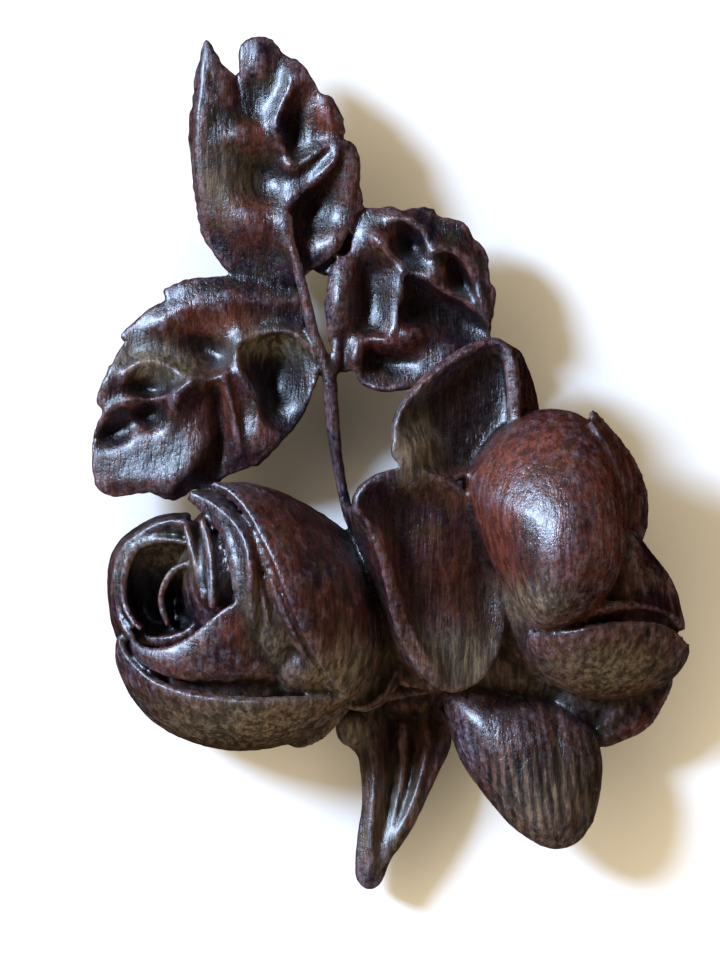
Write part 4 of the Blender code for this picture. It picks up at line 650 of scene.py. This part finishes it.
# Where cloths and hands have worn the stain to red-brown, where dust has stayed and a reflection of the
# pale paper is painted on the bowls, where highlights are painted pale as wax bloom, and where the growth
# rings show, as spots seen from the front: centre, half sizes, turn and strength.
wornSpots = [
    ((27.2, 17.9), (17.0, 20.0), 0, 0.75),
    ((23.5, 28.8), (7.0, 4.0), 30, 0.6),
    ((17.4, 17.9), (3.4, 8.0), 10, 0.6),
    ((38, 15.1), (5.0, 12.0), 0, 0.4),
    ((-28.2, 71.9), (5.6, 4.6), -30, 0.8),
    ((-13.9, 90.4), (3.6, 6.0), 20, 0.8),
    ((-27.9, 87.4), (3.6, 3.4), 0, 0.6),
    ((-36.6, 52.7), (8.4, 4.4), 0, 0.8),
    ((-33.6, 37.6), (5.0, 8.0), 0, 0.6),
    ((-0.3, 48.2), (5.4, 2.8), 0, 0.7),
    ((-9, 56.5), (4.2, 6.0), 0, 0.4),
    ((-23, 7.7), (4.4, 14.0), 22, 0.6),
    ((-31.3, -4.5), (2.4, 4.4), 30, 1.0),
    ((12.6, 2), (6.0, 12.0), 0, 0.3),
    ((1.8, 7.6), (6.0, 14.0), -10, 0.2),
    ((18.8, -26.3), (10.0, 8.0), 0, 0.4),
    ((-5.2, -40), (3.0, 12.0), 0, 0.5),
]
# Dust, which on the bowls is also a painted reflection of the pale paper.
dustAndReflectionSpots = [
    ((-46.2, 44.8), (7.4, 3.2), -10, 1.0),
    ((-24.5, 48), (7.0, 2.6), 0, 0.9),
    ((-33.5, 79.5), (5.2, 6.0), 20, 0.6),
    ((-30, -22.9), (17.0, 5.0), -3, 0.9),
    ((-44.8, 7.6), (7.0, 4.6), 0, 0.7),
    ((-24.5, -5.2), (3.0, 9.0), 20, 0.6),
    ((2.2, 28.5), (4.4, 5.6), 0, 0.9),
    ((12.1, -11.1), (7.0, 5.6), 0, 0.9),
    ((24.6, 0.1), (6.0, 4.0), 0, 0.8),
    ((38.4, -12.8), (11.0, 5.0), 5, 0.9),
    ((27.4, -37.8), (9.0, 9.0), 0, 0.8),
    ((-9, -24.6), (3.4, 5.0), 0, 0.8),
    ((-1.8, -42), (7.0, 10.0), 0, 0.5),
    ((-12.2, -13.9), (9.0, 5.0), 30, 0.9),
]
# Painted highlights: pale spots where the window's glint falls on the wax.
paintedHighlightSpots = [
    ((10.9, -23), (2.4, 6.0), 22, 1.0),
    ((13.9, -30.5), (2.0, 5.0), 28, 0.7),
    ((-32.5, 17.8), (2.4, 4.0), 40, 0.7),
    ((-52.3, -10.1), (1.4, 3.6), 30, 0.5),
]
ringSpots = [
    ((23.5, -32), (15.0, 15.0), 0, 1.0),
    ((28.5, 11.4), (15.0, 19.0), 0, 0.25),
]


def paintSpots(obj, name, points, spots):
    total = np.zeros(len(points))
    for spot in spots:
        total += softLump(points[:, 0], points[:, 1], *spot)
    paintAttribute(obj, name, np.clip(total, 0, 1))


def cutTools(obj):
    # Moves each corner along its normal: broad tool facets first, then the raised grain.
    points, normals, _ = meshArrays(obj)
    depth = np.zeros(len(points))
    for (perX, perY, perZ), shift, deep in spray["toolMarks"]:
        places = [Vector((x * perX + shift, y * perY, z * perZ)) for x, y, z in points]
        depth += deep * np.array([noise.noise(place) for place in places])
    moved = points + normals * depth[:, None]
    obj.data.vertices.foreach_set("co", (moved * mm).ravel())
    obj.data.update()


def fitInside(obj, box):
    # Keeps every corner within the solid's box.
    low, high = box
    for vertex in obj.data.vertices:
        vertex.co = [min(max(vertex.co[k], low[k]), high[k]) for k in range(3)]


def carveSpray():
    obj = joinForms(leftRose() + rightRose() + stemEnd() + leafTrio() + [backBoard()])
    obj.name = spray["name"]
    obj.data.name = spray["name"]
    skin = obj.modifiers.new("skin", "REMESH")
    skin.mode = "VOXEL"
    skin.voxel_size = spray["voxel"] * mm
    bpy.ops.object.modifier_apply(modifier=skin.name)
    keepOuterSkin(obj)
    cutTools(obj)
    sawBackFlat(obj)
    keepOuterSkin(obj)  # the flat cut can leave a crumb
    facets = sum(len(face.vertices) - 2 for face in obj.data.polygons)
    thin = obj.modifiers.new("thin", "DECIMATE")
    thin.ratio = min(1.0, spray["triangles"] / facets)
    bpy.ops.object.modifier_apply(modifier=thin.name)
    settleBack(obj)
    fitInside(obj, solidBox)
    obj.data.shade_smooth()
    print("spray carved:", facets, "facets, thinned to", len(obj.data.polygons))
    return obj


def markFinish(obj):
    # Tells the material where the wood stands proud or lies low, and where the spots are.
    points, normals, edges = meshArrays(obj)
    ridges = bulging(points, normals, edges, spray["ridgeRounds"]) / spray["ridgeHeight"]
    hollows = -bulging(points, normals, edges, spray["hollowRounds"]) / spray["hollowDepth"]
    paintAttribute(obj, "proud", np.clip(ridges, -1, 1))
    paintAttribute(obj, "hollow", np.clip(hollows, -1, 1))
    paintSpots(obj, "handled", points, wornSpots)
    # dust, with a painted reflection of the pale paper on the bowls
    paintSpots(obj, "dustyAndReflecting", points, dustAndReflectionSpots)
    # painted highlight spots
    paintSpots(obj, "paintedHighlight", points, paintedHighlightSpots)
    paintSpots(obj, "ringed", points, ringSpots)
    print("worn, dusty, bloomed and ringed places marked")


def linear(hexColour):
    values = [int(hexColour[k:k + 2], 16) / 255 for k in (1, 3, 5)]
    return [v / 12.92 if v <= 0.04045 else ((v + 0.055) / 1.055) ** 2.4 for v in values] + [1.0]


def addNode(tree, kind, settings=None, links=None):
    # Settings are the node's own, or the values of its sockets by name or number.
    node = tree.nodes.new(kind)
    for key, value in (settings or {}).items():
        if isinstance(key, str) and hasattr(node, key):
            setattr(node, key, value)
        else:
            node.inputs[key].default_value = value
    for key, source in (links or {}).items():
        tree.links.new(source, node.inputs[key])
    return node


# Old hardwood, cut with gouges, stained almost black, then waxed and rubbed by hand. That gives a dark
# plum brown with a satin sheen that the open pores break up, worn red-brown where hands touch it, with
# painted shade darkening the hollows, and grey dust on the bowls that also stands in as a painted
# reflection of the pale paper. Proud edges and a few spots are painted pale, partly wax bloom and partly
# painted highlight. Sizes are in millimetres. Real pores are 0.1 to 0.2 mm wide and wouldn't show in the
# render, so they're drawn at 0.5 mm, and the streaks of grain at 1.2 mm.
waxedWood = {
    "deep": "#100615",
    "brown": "#220d0d",
    "olive": "#1f1c0d",
    "worn": "#532a21",
    "bloomAndHighlight": "#5a5568",  # wax gone pale, and painted highlight on edges and spots
    # painted shade: near black laid into the hollows
    "paintedHollowShade": "#0e0709",
    # dust, also a painted reflection of the pale paper on the bowls
    "dustAndReflection": "#5f5645",
    "ring": "#100809",
    "ior": 1.5,
    "specular": 0.55,
    "wax": 0.25,
    "waxRoughness": 0.30,
    "dustRoughness": 0.3,  # what full dust adds
    "polish": -0.10,  # what a worn place adds
    "cloudSize": 9.0,
    "oliveSize": 5.0,
    "oliveShift": (0.3, 0.7, 0.2),
    "speckSize": 1.1,
    "poreWidth": 0.5,
    "streakWidth": 1.2,
    "alongGrain": (1.0, 0.13, 1.0),  # pores and streaks are 8 times as long as wide
    "ringSpacing": 1.7,
    "ringUnit": 314.0,  # scale of a wave texture for rings 1 mm apart
    "ringTurn": -0.4,
    "alongRings": (1.0, 0.35, 1.0),
    "bumpStrength": 0.8,
    "poreBump": 0.20,
    "speckBump": 0.24,
    "shadeDepth": 0.8,
}

# How each share follows its pattern: it goes from the third value to the fourth as the pattern goes
# from the first to the second.
woodRanges = {
    "brown": (0.42, 0.58, 0.0, 1.0),
    "olive": (0.48, 0.62, 0.0, 0.75),
    "rubbed": (0.35, 0.60, 0.0, 0.6),
    "worn": (0.30, 0.55, 0.35, 1.0),
    # painted highlight: proud edges and the painted spots go pale, partly as wax bloom
    "edge": (0.55, 1.0, 0.0, 0.4),
    "bloomAndHighlight": (0.42, 0.60, 0.1, 1.0),
    # painted shade, deeper the lower a place lies below its surroundings
    "paintedHollowShade": (0.15, 0.80, 0.0, 0.8),
    # dust, and on the bowls a painted reflection of the pale paper
    "dustAndReflection": (0.36, 0.64, 0.4, 0.85),
    "ring": (0.35, 0.70, 0.0, 0.85),
    "pore": (0.38, 0.54, 0.4, 1.0),
    "streak": (0.43, 0.57, 0.35, 1.0),
    "roughness": (0.35, 0.65, 0.24, 0.46),
}


def makeWaxedWood():
    look = waxedWood
    material = bpy.data.materials.new("dark_waxed_wood")
    material.use_nodes = True
    tree = material.node_tree
    shader = tree.nodes["Principled BSDF"]
    place = addNode(tree, "ShaderNodeTexCoord").outputs["Object"]

    told = {}
    for name in ("proud", "hollow", "handled", "dustyAndReflecting", "paintedHighlight", "ringed"):
        told[name] = addNode(tree, "ShaderNodeAttribute", {"attribute_name": name}).outputs["Fac"]

    # Clouds of stain over centimetres, specks of wax of a millimetre, and pores and streaks along Y.
    aside = addNode(tree, "ShaderNodeMapping", {"Location": look["oliveShift"]}, {"Vector": place})
    along = addNode(tree, "ShaderNodeMapping", {"Scale": look["alongGrain"]}, {"Vector": place})
    pattern = {}
    for name, size, detail, roughness, where in (
            ("clouds", look["cloudSize"], 5.0, 0.65, place),
            ("haze", look["oliveSize"], 4.0, 0.6, aside.outputs[0]),
            ("specks", look["speckSize"], 4.0, 0.7, place),
            ("pores", look["poreWidth"], 3.0, 0.6, along.outputs[0]),
            ("streaks", look["streakWidth"], 3.0, 0.6, along.outputs[0])):
        settings = {"Scale": 1000 / size, "Detail": detail, "Roughness": roughness}
        pattern[name] = addNode(tree, "ShaderNodeTexNoise", settings, {"Vector": where}).outputs[0]

    # Growth rings run down the striped petal and faintly over the dome.
    turned = addNode(tree, "ShaderNodeMapping", {"Rotation": (0.0, 0.0, look["ringTurn"]),
        "Scale": look["alongRings"]}, {"Vector": place})
    pattern["rings"] = addNode(tree, "ShaderNodeTexWave", {"wave_type": "BANDS",
        "bands_direction": "X", "Scale": look["ringUnit"] / look["ringSpacing"], "Distortion": 6.0,
        "Detail": 3.0, "Detail Scale": 0.8}, {"Vector": turned.outputs[0]}).outputs[1]

    share = {}
    for name, source in (
            ("brown", pattern["clouds"]), ("olive", pattern["haze"]), ("rubbed", pattern["clouds"]),
            ("worn", pattern["clouds"]), ("edge", told["proud"]), ("bloomAndHighlight", pattern["specks"]),
            ("paintedHollowShade", told["hollow"]), ("dustAndReflection", pattern["streaks"]), ("ring", pattern["rings"]),
            ("pore", pattern["pores"]), ("streak", pattern["streaks"]),
            ("roughness", pattern["specks"])):
        start, end, least, most = woodRanges[name]
        share[name] = addNode(tree, "ShaderNodeMapRange", {"From Min": start, "From Max": end,
            "To Min": least, "To Max": most}, {"Value": source}).outputs[0]

    # Each line changes one share by what the mesh tells, or by another share.
    # The pale edges also take the painted highlight spots.
    for name, operation, other in (
            ("rubbed", "MULTIPLY", told["proud"]), ("worn", "MULTIPLY", told["handled"]),
            ("edge", "MAXIMUM", told["paintedHighlight"]), ("dustAndReflection", "MULTIPLY", told["dustyAndReflecting"]),
            ("ring", "MULTIPLY", told["ringed"])):
        share[name] = addNode(tree, "ShaderNodeMath", {"operation": operation},
            {0: share[name], 1: other}).outputs[0]
    for name, operation, other in (
            ("worn", "MAXIMUM", "rubbed"), ("bloomAndHighlight", "MULTIPLY", "edge"), ("pore", "MULTIPLY", "streak")):
        share[name] = addNode(tree, "ShaderNodeMath", {"operation": operation},
            {0: share[name], 1: share[other]}).outputs[0]

    # The colours lie over the deep stain in this order, and pores and streaks darken them all. Of these,
    # the near-black one in the hollows is painted shade, the pale one on edges and spots is painted
    # highlight over wax bloom, and the grey one on the bowls is dust with a painted reflection.
    below = {}
    for name in ("brown", "olive", "worn", "bloomAndHighlight", "paintedHollowShade", "dustAndReflection", "ring"):
        layer = addNode(tree, "ShaderNodeMix", {"data_type": "RGBA", 6: linear(look["deep"]),
            7: linear(look[name])}, {0: share[name], **below})
        below = {6: layer.outputs[2]}
    shade = addNode(tree, "ShaderNodeMix", {"data_type": "RGBA", "blend_type": "MULTIPLY",
        0: look["shadeDepth"]}, {7: share["pore"], **below})
    tree.links.new(shade.outputs[2], shader.inputs["Base Color"])

    # Worn places are the smoothest, and dust takes the sheen away.
    dull = addNode(tree, "ShaderNodeMath", {"operation": "MULTIPLY_ADD", 1: look["dustRoughness"]},
        {0: share["dustAndReflection"], 2: share["roughness"]})
    dull = addNode(tree, "ShaderNodeMath", {"operation": "MULTIPLY_ADD", 1: look["polish"]},
        {0: told["handled"], 2: dull.outputs[0]})
    tree.links.new(dull.outputs[0], shader.inputs["Roughness"])
    openPores = addNode(tree, "ShaderNodeBump", {"Strength": look["bumpStrength"],
        "Distance": look["poreBump"] * mm}, {"Height": pattern["pores"]})
    bump = addNode(tree, "ShaderNodeBump", {"Strength": look["bumpStrength"],
        "Distance": look["speckBump"] * mm}, {"Height": pattern["specks"],
        "Normal": openPores.outputs[0]})
    tree.links.new(bump.outputs[0], shader.inputs["Normal"])
    shader.inputs["IOR"].default_value = look["ior"]
    shader.inputs["Specular IOR Level"].default_value = look["specular"]
    shader.inputs["Coat Weight"].default_value = look["wax"]
    shader.inputs["Coat Roughness"].default_value = look["waxRoughness"]
    print("waxed wood ready")
    return material


# Plain matt paper, pressed and uncoated: no sheen, and hardly any change of tone.
paper = {
    "shade": "#b2b3b4",
    "pale": "#b7b8b9",
    "cloudsPerMetre": 6.0,
    "roughness": 0.9,
    "specular": 0.2,
    "floorSize": 3000.0,
}


def makePaper():
    material = bpy.data.materials.new("pale_paper")
    material.use_nodes = True
    tree = material.node_tree
    shader = tree.nodes["Principled BSDF"]
    place = addNode(tree, "ShaderNodeTexCoord").outputs["Object"]
    cloud = addNode(tree, "ShaderNodeTexNoise", {"Scale": paper["cloudsPerMetre"], "Detail": 2.0},
        {"Vector": place})
    tone = addNode(tree, "ShaderNodeMix", {"data_type": "RGBA", 6: linear(paper["shade"]),
        7: linear(paper["pale"])}, {0: cloud.outputs[0]})
    tree.links.new(tone.outputs[2], shader.inputs["Base Color"])
    shader.inputs["Roughness"].default_value = paper["roughness"]
    shader.inputs["Specular IOR Level"].default_value = paper["specular"]
    return material


def makeFloor():
    bpy.ops.object.select_all(action="DESELECT")
    bpy.ops.mesh.primitive_plane_add(size=paper["floorSize"] * mm, location=(0, 0, 0))
    floor = bpy.context.object
    floor.name = "paper_floor"
    floor.data.materials.append(makePaper())
    floor.visible_glossy = False  # the wax in the photo mirrors a dark room, not the paper
    print("floor laid")


# Cool daylight from a window low on the upper left, in a warm room that is dark right above the
# camera and dimmer to the right. The ranges read as the wood's do, over the direction's Z or X.
light = {
    "windowFrom": (-0.72, 0.38, 0.58),
    "windowStrength": 8.0,
    "windowAngle": 14.0,
    "windowColour": (0.72, 0.95, 1.32),
    "roomColour": (1.0, 0.80, 0.53, 1.0),
    "roomStrength": 3.3,
    "roomRise": (0.0, 0.35, 0.2, 1.0),
    "roomFall": (0.65, 0.86, 1.0, 0.04),
    "roomSides": (-0.8, 0.8, 1.4, 0.6),
}


def makeLights():
    window = bpy.data.lights.new("window", "SUN")
    window.energy = light["windowStrength"]
    window.angle = math.radians(light["windowAngle"])
    window.color = light["windowColour"]
    obj = bpy.data.objects.new("window", window)
    obj.rotation_mode = "QUATERNION"
    obj.rotation_quaternion = Vector(light["windowFrom"]).to_track_quat("Z", "Y")
    bpy.context.scene.collection.objects.link(obj)

    world = bpy.data.worlds.new("warm_room")
    world.use_nodes = True
    tree = world.node_tree
    background = tree.nodes["Background"]
    background.inputs[0].default_value = light["roomColour"]
    way = addNode(tree, "ShaderNodeTexCoord").outputs["Generated"]
    parts = addNode(tree, "ShaderNodeSeparateXYZ", {}, {0: way})
    shares = []
    for name, axis in (("roomRise", "Z"), ("roomFall", "Z"), ("roomSides", "X")):
        start, end, least, most = light[name]
        shares.append(addNode(tree, "ShaderNodeMapRange", {"From Min": start, "From Max": end,
            "To Min": least, "To Max": most}, {"Value": parts.outputs[axis]}).outputs[0])
    glow = addNode(tree, "ShaderNodeMath", {"operation": "MULTIPLY", 1: light["roomStrength"]},
        {0: shares[0]})
    for share in shares[1:]:
        glow = addNode(tree, "ShaderNodeMath", {"operation": "MULTIPLY"}, {0: glow.outputs[0], 1: share})
    tree.links.new(glow.outputs[0], background.inputs[1])
    world.cycles_visibility.glossy = False  # the dim room adds no sheen of its own
    bpy.context.scene.world = world
    print("window and room lit")


photoView = {"place": (-7.5, 22.5, 1020.0), "lens": 200.0}


def makeCamera():
    data = bpy.data.cameras.new("photo_view")
    data.lens = photoView["lens"]
    obj = bpy.data.objects.new("photo_view", data)
    obj.location = [p * mm for p in photoView["place"]]
    bpy.context.scene.collection.objects.link(obj)
    bpy.context.scene.camera = obj
    print("camera set")


makeCamera()
piece = carveSpray()
markFinish(piece)
piece.data.materials.clear()
piece.data.materials.append(makeWaxedWood())
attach(piece, "root")
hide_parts("rose_spray")
makeFloor()
makeLights()
bpy.context.scene.view_settings.view_transform = "Standard"
